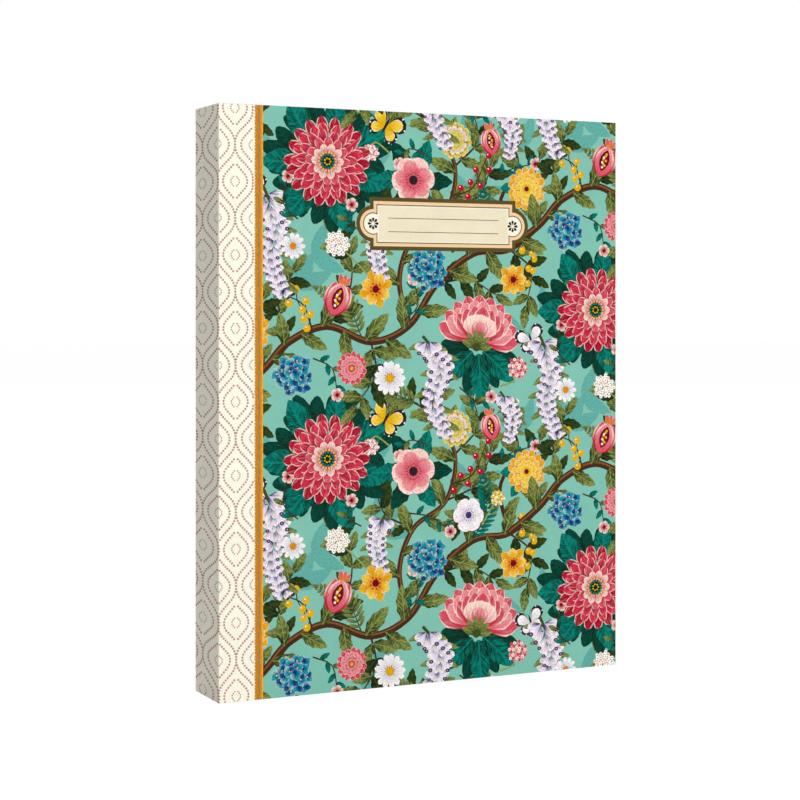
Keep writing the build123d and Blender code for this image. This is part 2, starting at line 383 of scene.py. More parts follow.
def printed_finish(name, roughness):
    finish = Finish(name, roughness, 0.03)
    root = finish.attribute("ink_root", "Color")
    tip = finish.attribute("ink_tip", "Color")
    kind, seed, power = finish.split(finish.attribute("ink_kind", "Vector"))
    along, across, bend = finish.split(finish.attribute("stroke", "Vector"))
    flat = finish.attribute("flat", "Vector")
    side = across - bend * along * along
    reach = side.math("ABSOLUTE")
    width = (along.clamp().math("POWER", power) * math.pi).math("SINE").math("MAXIMUM", 0.02)
    rim = reach / width.math("POWER", 0.7)
    petal, leaf, ground = [kind.near(value) for value in (PETAL, LEAF, GROUND)]

    def streaks(run, breadth, turn, offset=0.0, detail=2.0):
        # Noise drawn out along the shape, in another place for each seed
        where = finish.join(along * run + seed * turn, side * breadth + offset, seed)
        return finish.noise(where, 1.0, detail)

    # Fine brush lines run along a petal, dark from its root and pale from its tip, and its edge is pale
    brush = streaks(1.6, 7.0, 17.0, seed * 31.0, 3.0)
    dark_lines = streaks(2.0, 13.0, 5.0).smooth(0.48, 0.64)
    pale_lines = streaks(2.4, 9.0, 9.0, 40.0).smooth(0.54, 0.68)
    blend = (along + (brush - 0.5) * 0.9).smooth(0.08, 0.95)
    # A leaf is hatched outwards from a pale midrib, darker on one half, near its root and along its edge
    hatch = finish.noise(finish.join(along * 17.0 - reach * 5.0, side * 2.6 + seed * 13.0, seed * 7.0), 1.0)
    vein = ((along * 7.0 - reach * 2.0).math("FRACT") - 0.5).math("ABSOLUTE").smooth(0.4, 0.47)
    midrib = reach.math("LESS_THAN", 0.07)
    root_shade = (1.0 - along.smooth(0.0, 0.5)) * 0.6
    shade = root_shade + rim.smooth(0.76, 1.0) * 0.5 + (1.0 - hatch.smooth(0.36, 0.52)) * 0.5
    colour = finish.mix(blend * (petal + leaf * 0.75).clamp(), root, tip)
    for share, over in ((petal * dark_lines * 0.56, root),
                        (petal * pale_lines * along.smooth(0.45, 0.95) * 0.38, BLUSH),
                        (petal * rim.smooth(0.68, 0.88) * along.smooth(0.4, 0.8) * 0.84, BLUSH),
                        (petal * rim.smooth(0.95, 1.0) * 0.5, root),
                        (leaf * side.smooth(-0.1, 0.1) * 0.4, root),
                        (leaf * hatch.smooth(0.5, 0.62) * 0.85, tip),
                        (leaf * shade.clamp(), LEAF_SHADE),
                        (leaf * (vein * 0.4 + midrib * 0.7).clamp(), tip)):
        colour = finish.mix(share, colour, over)
    # The ground and the inks are a little uneven, as on pressed paper
    cloud = finish.noise(flat, 0.09, 4.0)
    dab = finish.noise(flat, 1.5, 3.0)
    uneven = (cloud - 0.5) * 0.16 + (dab - 0.5) * (1.0 - ground * 0.8) * 0.95 + 1.0
    finish.colour(finish.toned(colour, uneven))
    finish.bump(finish.noise(flat, 1.2, 3.0), 0.12, 0.00004)
    return finish.material


def ribbon_finish():
    # Threads across the ribbon, and a dye that varies in patches along it
    finish = Finish("woven ribbon", 0.65, 0.15)
    x, y, _ = finish.split(finish.attribute("flat", "Vector"))
    patch = finish.noise(finish.join(x * 1.5, y * 0.55), 1.0, 3.0)
    warm = finish.noise(finish.join(x * 0.9 + 40.0, y * 0.4), 1.0)
    thread = (y * 8.4 + x * 2.0).math("SINE") * 0.5 + 0.5
    colour = finish.attribute("ink_root", "Color")
    colour = finish.mix(warm.smooth(0.46, 0.66) * 0.28, colour, RIBBON_WARM)
    colour = finish.toned(colour, (patch - 0.5) * 0.8 + thread * 0.16 + 0.9)
    # Pale flecks by the selvedge, and a pale thread across at each slub
    flecks = finish.noise(finish.join(x * 2.0, y * 1.7), 1.0, 1.0).smooth(0.62, 0.7)
    broken = finish.noise(finish.join(x * 1.2, y * 0.3), 1.0, 1.0).smooth(0.4, 0.6)
    slub = ((y / RIBBON_SLUB_PITCH).math("FRACT") * RIBBON_SLUB_PITCH).math("LESS_THAN", 0.35)
    pale = (x - 0.6).math("LESS_THAN", 0.0) * flecks + slub * broken * 2.0
    finish.colour(finish.mix(pale * 0.3, colour, RIBBON_PALE_MARK))
    finish.bump(thread, 0.4, 0.00006)
    return finish.material


# Inked shapes

# Every random choice of the print comes from these dice, in the order of drawing
dice = random.Random(41)


class Art:
    """Shapes of ink, each one laid over those before it, on a plane in millimetres.

    An ink is a row of numbers: kind, seed, power, root colour, tip colour, origin, the four numbers that turn
    a place into shares along the shape and across it, and bend.
    """

    def __init__(self):
        self.rings = []
        self.inks = []

    def add(self, ring, kind, root, tip, origin=(0.0, 0.0), turn=0.0, length=1.0, half_width=1.0, bend=0.0,
            power=1.0, seed=0.0):
        self.rings.append(np.asarray(ring, float))
        cos_turn, sin_turn = math.cos(turn), math.sin(turn)
        self.inks.append((kind, seed, power, *root, *tip, *origin, cos_turn / length, sin_turn / length,
                          -sin_turn / half_width, cos_turn / half_width, bend))

    def blade(self, root_point, angle, length, width, colours, kind=PETAL, bend=0.0, power=1.4, blunt=0.7,
              points=5, teeth=0.0):
        # A petal or a leaf: narrow at its root, widest part-way along, and curved sideways by its bend
        turn = math.radians(angle)
        share = (1 - np.cos(np.pi * np.arange(1, points) / points)) / 2
        width_share = np.sin(np.pi * share ** power) ** blunt
        if teeth:
            width_share = width_share * (1 - teeth * (np.arange(1, points) % 2))
        half = width / 2
        lower = np.column_stack([share * length, (-width_share + bend * share ** 2) * half])
        upper = np.column_stack([share * length, (width_share + bend * share ** 2) * half])
        ring = np.vstack([[[0, 0]], lower, [[length, bend * half]], upper[::-1]])
        rotation = np.array([[math.cos(turn), math.sin(turn)], [-math.sin(turn), math.cos(turn)]])
        self.add(ring @ rotation + root_point, kind, *colours, origin=root_point, turn=turn, length=length,
                 half_width=half, bend=bend, power=power, seed=0.0 if kind == DOT else dice.random())

    def clear(self, centre, radius):
        # Drops the shapes that the bloom drawn next hides
        kept = [place for place, ring in enumerate(self.rings)
                if np.linalg.norm(ring - centre, axis=1).max() > radius]
        self.rings = [self.rings[place] for place in kept]
        self.inks = [self.inks[place] for place in kept]

    def dot(self, centre, radius, colour, points=8, squash=1.0, turn=0.0):
        angles = np.arange(points) * 2 * np.pi / points + turn
        ring = np.column_stack([np.cos(angles) * radius * squash, np.sin(angles) * radius])
        self.add(ring + centre, DOT, colour, colour, centre)

    def stem(self, path, start_width, end_width, colour):
        # A line of changing width along a smooth path
        path = np.asarray(path, float)
        heading = np.gradient(path, axis=0)
        normal = np.column_stack([-heading[:, 1], heading[:, 0]]) / np.linalg.norm(heading, axis=1)[:, None]
        half = np.linspace(start_width, end_width, len(path))[:, None] / 2
        ring = np.vstack([path - normal * half, (path + normal * half)[::-1]])
        self.add(ring, STEM, colour, colour, path[0])

    def stamped(self, offset, low, high):
        # The shapes moved by an offset, without those that fall outside a window
        for ring, ink in zip(self.rings, self.inks):
            moved = ring + offset
            if (moved.max(0) > low).all() and (moved.min(0) < high).all():
                yield moved, ink[:9] + (ink[9] + offset[0], ink[10] + offset[1]) + ink[11:]


def curve(*controls, steps=8):
    # A smooth path through points, by Catmull-Rom pieces
    points = [np.array(c, float) for c in controls]
    points = [2 * points[0] - points[1]] + points + [2 * points[-1] - points[-2]]
    path = []
    for before, start, end, after in zip(points, points[1:], points[2:], points[3:]):
        square_part = 2 * before - 5 * start + 4 * end - after
        cube_part = 3 * start - before - 3 * end + after
        for step in range(steps):
            t = step / steps
            path.append(0.5 * (2 * start + (end - before) * t + square_part * t ** 2 + cube_part * t ** 3))
    path.append(points[-2])
    return np.array(path)


def toward(centre, angle, distance):
    turn = math.radians(angle)
    return np.array([centre[0] + math.cos(turn) * distance, centre[1] + math.sin(turn) * distance])


def direction(start, end):
    return math.degrees(math.atan2(end[1] - start[1], end[0] - start[0]))


# The motifs of the cover's print: a generic chintz of full-faced blooms, bells, pomegranates and butterflies

def whorl(art, centre, count, turn, start, length, width, palette, wobble=0.0, bend=0.0, **shape):
    # A ring of like petals round a centre
    for index in range(count):
        angle = turn + 360 * index / count
        if wobble:
            angle += dice.uniform(-wobble, wobble)
        art.blade(toward(centre, angle, start), angle, length, width, palette[index % len(palette)],
                  bend=dice.uniform(-bend, bend) if bend else 0.0, **shape)


def beads(art, centre, radius, count, low, high, size, colour, points=5):
    # A ring of dots round a centre; distances and sizes are shares of a radius
    for index in range(count):
        reach = low if low == high else dice.uniform(low, high)
        art.dot(toward(centre, 360 * index / count, radius * reach), radius * size, colour, points)


def head_spots(centre, radius, count):
    # Spots spread over a round head, from the outermost inwards
    for index in range(count - 1, -1, -1):
        yield index, toward(centre, GOLDEN_ANGLE * index, radius * math.sqrt((index + 0.5) / count))


def rosette(art, centre, radius, rings, palette, width_share=1.0, squash=0.94):
    # Rings of petals, from the outermost inwards; each ring is (count, root, length) in shares of the radius
    art.clear(centre, radius * 0.8 * squash)
    for number, (count, root, length) in enumerate(rings):
        turn = dice.uniform(0, 360)
        middle = (root + length * 0.7) * radius
        width = 2 * math.pi * middle / count * 0.98 * width_share
        for index in range(count):
            angle = turn + 360 * index / count + dice.uniform(-3, 3)
            size = radius * length * dice.uniform(0.93, 1.05)
            start = toward((0, 0), angle, radius * root) * (1, squash) + centre
            art.blade(start, angle, size, width, palette[min(number, len(palette) - 1)],
                      bend=dice.uniform(-0.3, 0.3), power=1.7, blunt=0.55)


def dahlia(art, centre, radius, palette):
    rings = [(18, 0.44, 0.58), (17, 0.34, 0.54), (15, 0.25, 0.47), (12, 0.17, 0.38), (10, 0.1, 0.3)]
    rosette(art, centre, radius, rings, palette)
    art.dot(centre, radius * 0.17, NIGHT_GREEN, 10)
    beads(art, centre, radius, 18, 0.2, 0.2, 0.022, LEMON)
    beads(art, centre, radius, 13, 0.14, 0.14, 0.026, SEA_GREEN)
    beads(art, centre, radius, 7, 0.07, 0.07, 0.024, GOLD)


def marigold(art, centre, radius, palette, heart):
    rings = [(15, 0.46, 0.54), (13, 0.3, 0.48), (11, 0.16, 0.4), (8, 0.06, 0.3)]
    rosette(art, centre, radius, rings, palette, 1.1, 1.0)
    art.dot(centre, radius * 0.12, heart, 7)


def anemone(art, centre, radius, palette, heart=INK):
    # Broad petals in two rows round a dark heart with a ring of stamens
    art.clear(centre, radius * 0.7)
    for row, count in enumerate((6, 5)):
        whorl(art, centre, count, row * 30, radius * 0.08, radius * (0.95 - row * 0.16), radius * 0.86,
              [palette[row]], 6, 0.2, power=1.9, blunt=0.42, points=7)
    art.dot(centre, radius * 0.21, heart, 9)
    beads(art, centre, radius, 16, 0.28, 0.36, 0.035, heart, 4)


def daisy(art, centre, radius, colours, heart, count=13):
    whorl(art, centre, count, 0, radius * 0.2, radius * 0.82, radius * 0.42, [colours], 4, power=1.6,
          blunt=0.6, points=4)
    art.dot(centre, radius * 0.28, heart, 9)
    for index in range(7):
        art.dot(toward(centre, index * 51, radius * 0.19), radius * 0.06, AMBER, 5)


def star(art, centre, radius, turn):
    # A yellow flower of eight pointed petals in two rows of four, with a speckled heart
    for row, size, colours in ((0, 1.0, (AMBER, GOLD)), (1, 0.86, (AMBER, LEMON))):
        whorl(art, centre, 4, turn + 45 * row, 0, radius * size, radius * 0.66, [colours], bend=0.15,
              power=1.15, blunt=0.8)
    art.dot(centre, radius * 0.2, WINE, 8)
    beads(art, centre, radius, 9, 0.2, 0.32, 0.055, CRIMSON)


def fan(art, centre, radius, angle, palette):
    # A bloom seen from the side: rows of frilled petals over a green cup
    art.clear(toward(centre, angle, radius * 0.4), radius * 0.4)
    rows = ((10, 88, 1.0, 0.42), (9, 74, 0.88, 0.42), (7, 58, 0.74, 0.42), (5, 40, 0.58, 0.4),
            (3, 18, 0.42, 0.34))
    for number, (count, spread, length, width) in enumerate(rows):
        for index in sorted(range(count), key=lambda i: -abs(i - (count - 1) / 2)):
            lean = spread * (2 * index / (count - 1) - 1)
            art.blade(centre, angle + lean, radius * length, radius * width, palette[number % len(palette)],
                      power=2.1, blunt=0.6, bend=-lean / 160, points=9, teeth=0.07)
    for lean in (-76, 76, -44, 44, -14, 14):
        art.blade(toward(centre, angle + 180, radius * 0.16), angle + lean, radius * 0.4, radius * 0.17,
                  OLIVE_LEAF, LEAF, power=1.0, points=4)
    art.dot(toward(centre, angle + 180, radius * 0.14), radius * 0.1, OLIVE, 8)


def pomegranate(art, centre, size, angle):
    # A split fruit with a crown, and seeds in the split
    for lean in (-26, 0, 26):
        art.blade(toward(centre, angle, size * 0.5), angle + lean, size * 0.5, size * 0.26, (AMBER, CORAL),
                  power=1.2, points=4)
    for lean, width in ((-20, 0.75), (20, 0.75), (0, 0.9)):
        art.blade(toward(centre, angle + 180, size * 0.62), angle + lean, size * 1.25, size * width,
                  (CRIMSON, CORAL) if lean else (CORAL, PINK), bend=-lean / 60, power=1.15, blunt=0.5,
                  points=9)
    split = toward(centre, angle + 180, size * 0.4)
    art.blade(split, angle, size * 0.9, size * 0.46, (WINE, WINE), DOT, power=1.0, points=7)
    for index in range(9):
        spot = toward(split, angle, size * (0.16 + 0.07 * index))
        stray = np.array([dice.uniform(-0.1, 0.1), 0]) * size
        art.dot(spot + stray, size * 0.058, GOLD if index % 3 else BLUSH, 6)


def hydrangea(art, centre, radius):
    # A dome of small blue flowers with four petals
    blues = [(BLUE, SKY), (NAVY, BLUE), (BLUE, TEAL_TINT), (SEA_GREEN, SKY)]
    for index, spot in head_spots(centre, radius * 0.82, 19):
        first = index % len(blues)
        whorl(art, spot, 4, dice.uniform(0, 90), 0, radius * 0.29, radius * 0.3,
              blues[first:] + blues[:first], power=1.5, blunt=0.5, points=4)
        art.dot(spot, radius * 0.045, LEMON if index % 2 else NAVY, 4)


def umbel(art, centre, radius, colours, heart):
    # A round head of many small florets
    art.clear(centre, radius * 0.8)
    for index, spot in head_spots(centre, radius * 0.88, 36):
        art.dot(spot, radius * 0.16, colours[index % len(colours)], 6, turn=dice.uniform(0, 1))
        art.dot(spot, radius * 0.05, heart, 4)


def bells(art, path, size):
    # Pale bells with violet mouths, hung one above another from an arching stalk
    art.stem(path, size * 0.2, size * 0.07, OLIVE)
    for index in range(len(path) - 1, 0, -1):
        share = index / len(path)
        for hand in (-1, 1):
            length = size * (0.94 - 0.4 * share) * dice.uniform(0.9, 1.1)
            root = path[index] + np.array([hand * size * 0.12, 0])
            angle = -90 + hand * dice.uniform(26, 62) * (1.1 - share * 0.5)
            if (index + hand) % 2 == 0:
                art.blade(root, angle + hand * 34, size * 1.3, size * 0.4, OLIVE_LEAF, LEAF, power=1.0)
            for lean in (-30, 30, 0):
                colours = (VIOLET if lean else LILAC, WHITE)
                art.blade(root, angle + lean, length, length * 0.52, colours, power=1.9, blunt=0.5)
            mouth = toward(root, angle, length * 0.95)
            art.dot(mouth, length * 0.15, VIOLET, 7, squash=1.25)
            art.dot(mouth, length * 0.05, LEMON, 4)


def leaf(art, root_point, angle, length, colours, width_share=0.46, teeth=0.16, kind=LEAF):
    art.blade(root_point, angle, length, length * width_share, colours, kind, dice.uniform(-0.5, 0.5),
              power=0.85, blunt=0.75, points=11, teeth=teeth)


def lobed_leaf(art, root_point, angle, length, colours):
    # A broad leaf of five overlapping lobes
    for lean, share in ((-64, 0.62), (64, 0.62), (-34, 0.84), (34, 0.84), (0, 1.0)):
        art.blade(root_point, angle + lean, length * share, length * 0.4, colours, LEAF,
                  dice.uniform(-0.2, 0.2), power=1.25, blunt=0.6, points=7)


def spray(art, path, size, colours):
    # A twig with serrated leaves in pairs
    art.stem(path, 0.9, 0.45, BARK)
    for index in range(1, len(path), 2):
        angle = direction(path[index - 1], path[index])
        for side in (-1, 1):
            leaf(art, path[index], angle + side * dice.uniform(38, 66), size * dice.uniform(0.8, 1.15),
                 colours if dice.random() < 0.6 else (NIGHT_GREEN, OLIVE), 0.5)
    leaf(art, path[-1], angle, size, colours)


def fern(art, path, size, colours):
    # A frond: paired leaflets that shorten towards the tip
    art.stem(path, size * 0.1, size * 0.03, colours[0])
    for index in range(1, len(path)):
        angle = direction(path[index - 1], path[index])
        length = size * math.sin(math.pi * (0.25 + 0.72 * index / len(path)))
        for side in (-1, 1):
            art.blade(path[index], angle + side * 52, length, size * 0.26, colours, LEAF, power=1.0, points=4)
    art.blade(path[-1], angle, size * 0.5, size * 0.24, colours, LEAF, power=1.0, points=4)


def berries(art, path, size, colour):
    art.stem(path, size * 0.3, size * 0.16, BARK)
    for index in range(2, len(path), 3):
        for side in (-1, 1):
            spot = toward(path[index], dice.uniform(50, 130) * side, size * dice.uniform(1.0, 1.7))
            art.stem([path[index], (path[index] + spot) / 2, spot], size * 0.2, size * 0.14, BARK)
            art.dot(spot, size * 0.62, colour, 9)
            art.dot(spot + np.array([-0.16, 0.2]) * size, size * 0.16, BLUSH, 5)


def butterfly(art, centre, span, angle, wing, edge):
    for side in (-1, 1):
        spot = toward(centre, angle + side * 90, span * 0.02)
        for lean, length, width in ((122, 0.4, 0.34), (52, 0.52, 0.4)):
            turn = angle + side * lean
            art.blade(spot, turn, span * length, span * width, (edge, edge), DOT, power=1.8, blunt=0.5,
                      points=7)
            art.blade(spot, turn, span * length * 0.84, span * width * 0.74, wing, power=1.7, blunt=0.5,
                      points=6)
            for mark in (-16, 16):
                art.dot(toward(spot, turn + mark, span * length * 0.9), span * 0.022, WHITE, 5)
    art.blade(toward(centre, angle + 180, span * 0.2), angle, span * 0.42, span * 0.07, (INK, INK), DOT)
    for side in (-1, 1):
        tip = toward(centre, angle + side * 20, span * 0.4)
        art.stem(curve(toward(centre, angle, span * 0.2), tip, steps=3), span * 0.012, span * 0.012, INK)


def draw_branches(art):
    # Three branches that run on from tile to tile, with olive leaves along them
    vine = curve((-14, 0), (0, 10), (10, 20), (26, 26), (44, 20), (60, 26), (72, 42), (88, 54), (104, 56),
                 (118, 66), (128, 76))
    upper = curve((60, 26), (56, 44), (62, 60), (76, 70), (80, 88), (70, 104), (72, 118))
    side = curve((104, 56), (100, 74), (108, 90), (100, 106))
    art.stem(vine, 3.0, 2.6, BARK)
    art.stem(vine + (0.0, 0.5), 0.8, 0.7, TWIG)
    art.stem(upper, 2.3, 1.5, BARK)
    art.stem(upper + (0.3, 0.1), 0.6, 0.4, TWIG)
    art.stem(side, 1.9, 1.1, BARK)
    for path, size in ((vine, 13), (upper, 12), (side, 11)):
        for index in range(3, len(path) - 2, 4):
            lean = 58 if (index // 4) % 2 else -58
            angle = direction(path[index], path[index + 1])
            leaf(art, path[index], angle + lean, size * dice.uniform(0.85, 1.15), OLIVE_LEAF)


def draw_background(art):
    # Pale leaves in the distance, and sprays of serrated leaves
    for spot, angle, length in (
            ((14, 40), 70, 15), ((20, 52), 20, 14), ((52, 92), 160, 15), ((96, 30), -60, 15),
            ((110, 96), 110, 14), ((40, 8), -20, 15), ((84, 100), 30, 14), ((4, 84), 60, 14),
            ((46, 60), 40, 15), ((88, 72), 80, 15)):
        for lean in (-44, 0, 44):
            leaf(art, spot, angle + lean, length, PALE_LEAF, 0.42, teeth=0.08, kind=STEM)
    for controls, size in (
            (((26, 26), (34, 36), (36, 50), (30, 60)), 10), (((44, 20), (46, 8), (38, -4)), 11),
            (((10, 20), (6, 34), (12, 46)), 10), (((72, 42), (86, 44), (98, 38)), 10),
            (((62, 60), (50, 66), (46, 76)), 10), (((76, 70), (90, 76), (96, 88)), 11),
            (((80, 88), (90, 98), (88, 110)), 10), (((104, 56), (114, 48), (112, 34)), 11),
            (((70, 104), (58, 110), (46, 108)), 10), (((100, 74), (90, 66), (80, 62)), 10),
            (((118, 66), (114, 80), (118, 92)), 10)):
        spray(art, curve(*controls, steps=4), size * 0.9, OLIVE_LEAF)


def draw_twigs(art):
    # Thin twigs with small leaves, and a small five-petalled flower on each
    for controls in (
            ((14, 66), (8, 72), (10, 82)), ((60, 66), (70, 64), (78, 58)), ((40, 62), (34, 66), (36, 72)),
            ((98, 84), (106, 88), (116, 90)), ((58, 28), (64, 34), (62, 44)), ((82, 2), (90, -4), (96, -2)),
            ((20, 14), (28, 10), (30, 0)), ((68, 92), (60, 94), (56, 88))):
        path = curve(*controls, steps=3)
        art.stem(path, 0.6, 0.4, BARK)
        for index in range(1, len(path) - 1):
            lean = 50 if index % 2 else -50
            angle = direction(path[index - 1], path[index + 1])
            leaf(art, path[index], angle + lean, 4.6, GREEN_LEAF if index % 3 else OLIVE_LEAF, 0.5)
        whorl(art, path[-1], 5, 0, 0, 2.7, 2.5, [(CRIMSON, BLUSH)], power=1.8, blunt=0.5, points=4)
        art.dot(path[-1], 0.75, WINE, 6)


def draw_leaves_behind_blooms(art):
    for angle in range(14, 374, 52):
        lobed_leaf(art, toward((26, 88), angle, 11), angle, 17, DEEP_LEAF)
    for angle in range(26, 360, 52):
        leaf(art, toward((26, 88), angle, 10), angle, 17 * dice.uniform(0.9, 1.1), GREEN_LEAF, 0.62, 0.06)
    for angle in (-160, -108, -60, -20):
        lobed_leaf(art, toward((90, 18), angle, 4), angle, 15, DEEP_LEAF)
    for angle in (-136, -84, -40):
        leaf(art, toward((90, 18), angle, 3), angle, 19, GREEN_LEAF, 0.5, 0.06)
    for angle in range(0, 360, 60):
        leaf(art, toward((62, 82), angle, 3), angle, 14, GREEN_LEAF if angle % 120 else DEEP_LEAF, 0.56)
    for angle in (120, 175, 230, 290):
        leaf(art, (112, 80), angle, 12, GREEN_LEAF, 0.56)


def draw_blooms(art):
    dahlia(art, (26, 88), 17.4, RED_PETALS)
    fan(art, (90, 20), 18, 78, PINK_PETALS)
    anemone(art, (62, 82), 9.0, [(CORAL, BLUSH), (CORAL, PINK)])
    marigold(art, (112, 80), 9.0, [(AMBER, GOLD), (AMBER, LEMON), (GOLD, LEMON)], WINE)
    pomegranate(art, (30, 36), 10.0, 68)
    pomegranate(art, (96, 98), 8.0, 100)
    hydrangea(art, (68, 48), 9.0)
    hydrangea(art, (12, 8), 8.4)
    star(art, (46, 40), 7.6, 20)
    star(art, (106, 44), 7.0, 50)
    marigold(art, (80, 98), 7.4, [(OLIVE, LEMON), (MOSS, BLUSH), (MOSS, LEMON)], WINE)
    daisy(art, (52, 6), 6.6, (MIST, WHITE), GOLD)
    anemone(art, (86, 64), 6.6, [(LILAC, WHITE), (PALE_LILAC, WHITE)], VIOLET)
    daisy(art, (12, 56), 5.0, (MIST, WHITE), AMBER, 11)
    marigold(art, (36, 10), 6.4, [(CRIMSON, CORAL), (CORAL, PINK), (CRIMSON, PINK)], GOLD)
    butterfly(art, (50, 102), 17, 60, (GOLD, LEMON), INK)
    butterfly(art, (114, 20), 14, 110, (PALE_WING, WHITE), INK)


def cover_art():
    # One tile of the print; the next column of tiles is dropped by half a tile
    art = Art()
    draw_background(art)
    draw_branches(art)
    fern(art, curve((40, 22), (34, 34), (22, 40), steps=7), 6.0, OLIVE_LEAF)
    fern(art, curve((88, 54), (94, 66), (92, 80), steps=7), 6.0, GREEN_LEAF)
    fern(art, curve((64, 108), (52, 112), (40, 110), steps=7), 6.0, OLIVE_LEAF)
    berries(art, curve((20, 24), (16, 34), (8, 38), steps=6), 2.5, GOLD)
    berries(art, curve((108, 62), (114, 54), (112, 44), steps=6), 2.4, GOLD)
    berries(art, curve((78, 76), (88, 80), (94, 92), steps=6), 2.2, CRIMSON)
    draw_leaves_behind_blooms(art)
    bells(art, curve((0, 78), (5, 66), (3, 52), (8, 40), steps=4), 6.4)
    bells(art, curve((66, 22), (74, 12), (70, -2), (76, -14), steps=4), 6.4)
    bells(art, curve((50, 66), (46, 58), (49, 46), steps=4), 5.4)
    bells(art, curve((100, 112), (106, 104), (104, 94), steps=4), 5.0)
    draw_twigs(art)
    # Round heads on thin stalks
    for controls, radius, colours, heart in (
            (((44, 44), (38, 50), (30, 57)), 5.4, (BLUSH, WHITE, CREAM), OLIVE),
            (((100, 2), (106, 4), (108, 9)), 4.8, (BLUSH, PINK, CORAL), WINE),
            (((52, 92), (46, 96), (44, 92)), 3.6, (BLUSH, WHITE, PINK), CRIMSON),
            (((92, 60), (96, 66), (99, 70)), 3.4, (LEMON, CREAM, GOLD), OLIVE)):
        art.stem(curve(*controls), 0.7, 0.5, MOSS)
        umbel(art, controls[-1], radius, colours, heart)
    draw_blooms(art)
    return art


# The dotted paper of the spine and the quarters

def spaced(path, count):
    # Points at even distances along a path, from its first end to its last
    steps = np.linalg.norm(np.diff(path, axis=0), axis=1)
    run = np.concatenate([[0], np.cumsum(steps)])
    stops = np.linspace(0, run[-1], count)
    return np.column_stack([np.interp(stops, run, values) for values in path.T])


def medallion(with_outer_line, dot_colour, ring_colour):
    # One medallion of the lattice, drawn as a quarter that is mirrored to the four sides
    art = Art()
    outer = curve((0.0, 13.53), (0.0, 12.5), (0.65, 10.43), (1.8, 8.58), (4.15, 6.23), (5.6, 4.63),
                  (6.72, 2.8), (7.0, 0.56))
    inner = curve((0.77, 6.0), (2.27, 4.3), (3.86, 2.57), (4.45, 1.62), (4.75, 0.52))
    ring = curve((0.62, 1.72), (1.17, 1.1), (1.6, 0.43))
    lines = [(inner, 7, DOT_RADIUS, dot_colour), (ring, 3, DOT_RADIUS * 0.72, ring_colour)]
    if with_outer_line:
        lines.append((outer, 15, DOT_RADIUS, dot_colour))
    for path, count, radius, colour in lines:
        for spot in spaced(path, count):
            for side in (-1, 1) if spot[0] > 0.01 else (1,):
                for up in (-1, 1):
                    art.dot(spot * (side, up), radius, colour, 7)
    return art


def medallion_pair(dot_colour, ring_colour):
    # The medallions of the even columns and of the odd ones, which share the outer lines of the even ones
    return medallion(True, dot_colour, ring_colour), medallion(False, dot_colour, ring_colour)


# Meshes

def in_scene(name, data):
    thing = bpy.data.objects.new(name, data)
    bpy.context.scene.collection.objects.link(thing)
    return thing


def mesh_piece(name, places, faces, materials):
    # A piece from places in millimetres and its faces
    mesh = bpy.data.meshes.new(name)
    mesh.from_pydata((np.asarray(places) * MM).tolist(), [], [list(map(int, face)) for face in faces])
    for material in materials:
        mesh.materials.append(material)
    mesh.update()
    return in_scene(name, mesh)


def put(mesh, name, kind, domain, values):
    attribute = mesh.attributes.new(name, kind, domain)
    field = {"FLOAT_VECTOR": "vector", "FLOAT_COLOR": "color", "FLOAT": "value"}[kind]
    attribute.data.foreach_set(field, np.asarray(values, np.float32).ravel())


def mirrored_piece(piece):
    # A piece for the back, made for the front and mirrored through the middle of the book's thickness
    piece.data.transform(Matrix.Diagonal((1, -1, 1, 1)))
    piece.data.flip_normals()


def placed(piece, body, slot, *replaced):
    if body:
        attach(piece, body)
    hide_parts(*replaced)


def around(face):
    # The edges of a face, each from its start to its end
    return zip(face, face[1:] + face[:1])


def ring_walls(count):
    # The faces between a ring of places and the ring that follows it
    return [[i, i + count, (i + 1) % count + count, (i + 1) % count] for i in range(count)]


def arc(centre, radius, start, end, steps=5):
    angles = np.radians(np.linspace(start, end, steps))
    return [(centre[0] + radius * math.cos(a), centre[1] + radius * math.sin(a)) for a in angles]


# Sheets

def past_corner(edge, turned):
    # The length of paper past the panel's corner line that an edge and its turn-in take
    return (edge + EDGE_RADIUS * (math.pi / 2 - 2), turned) if edge else (0.0, 0.0)


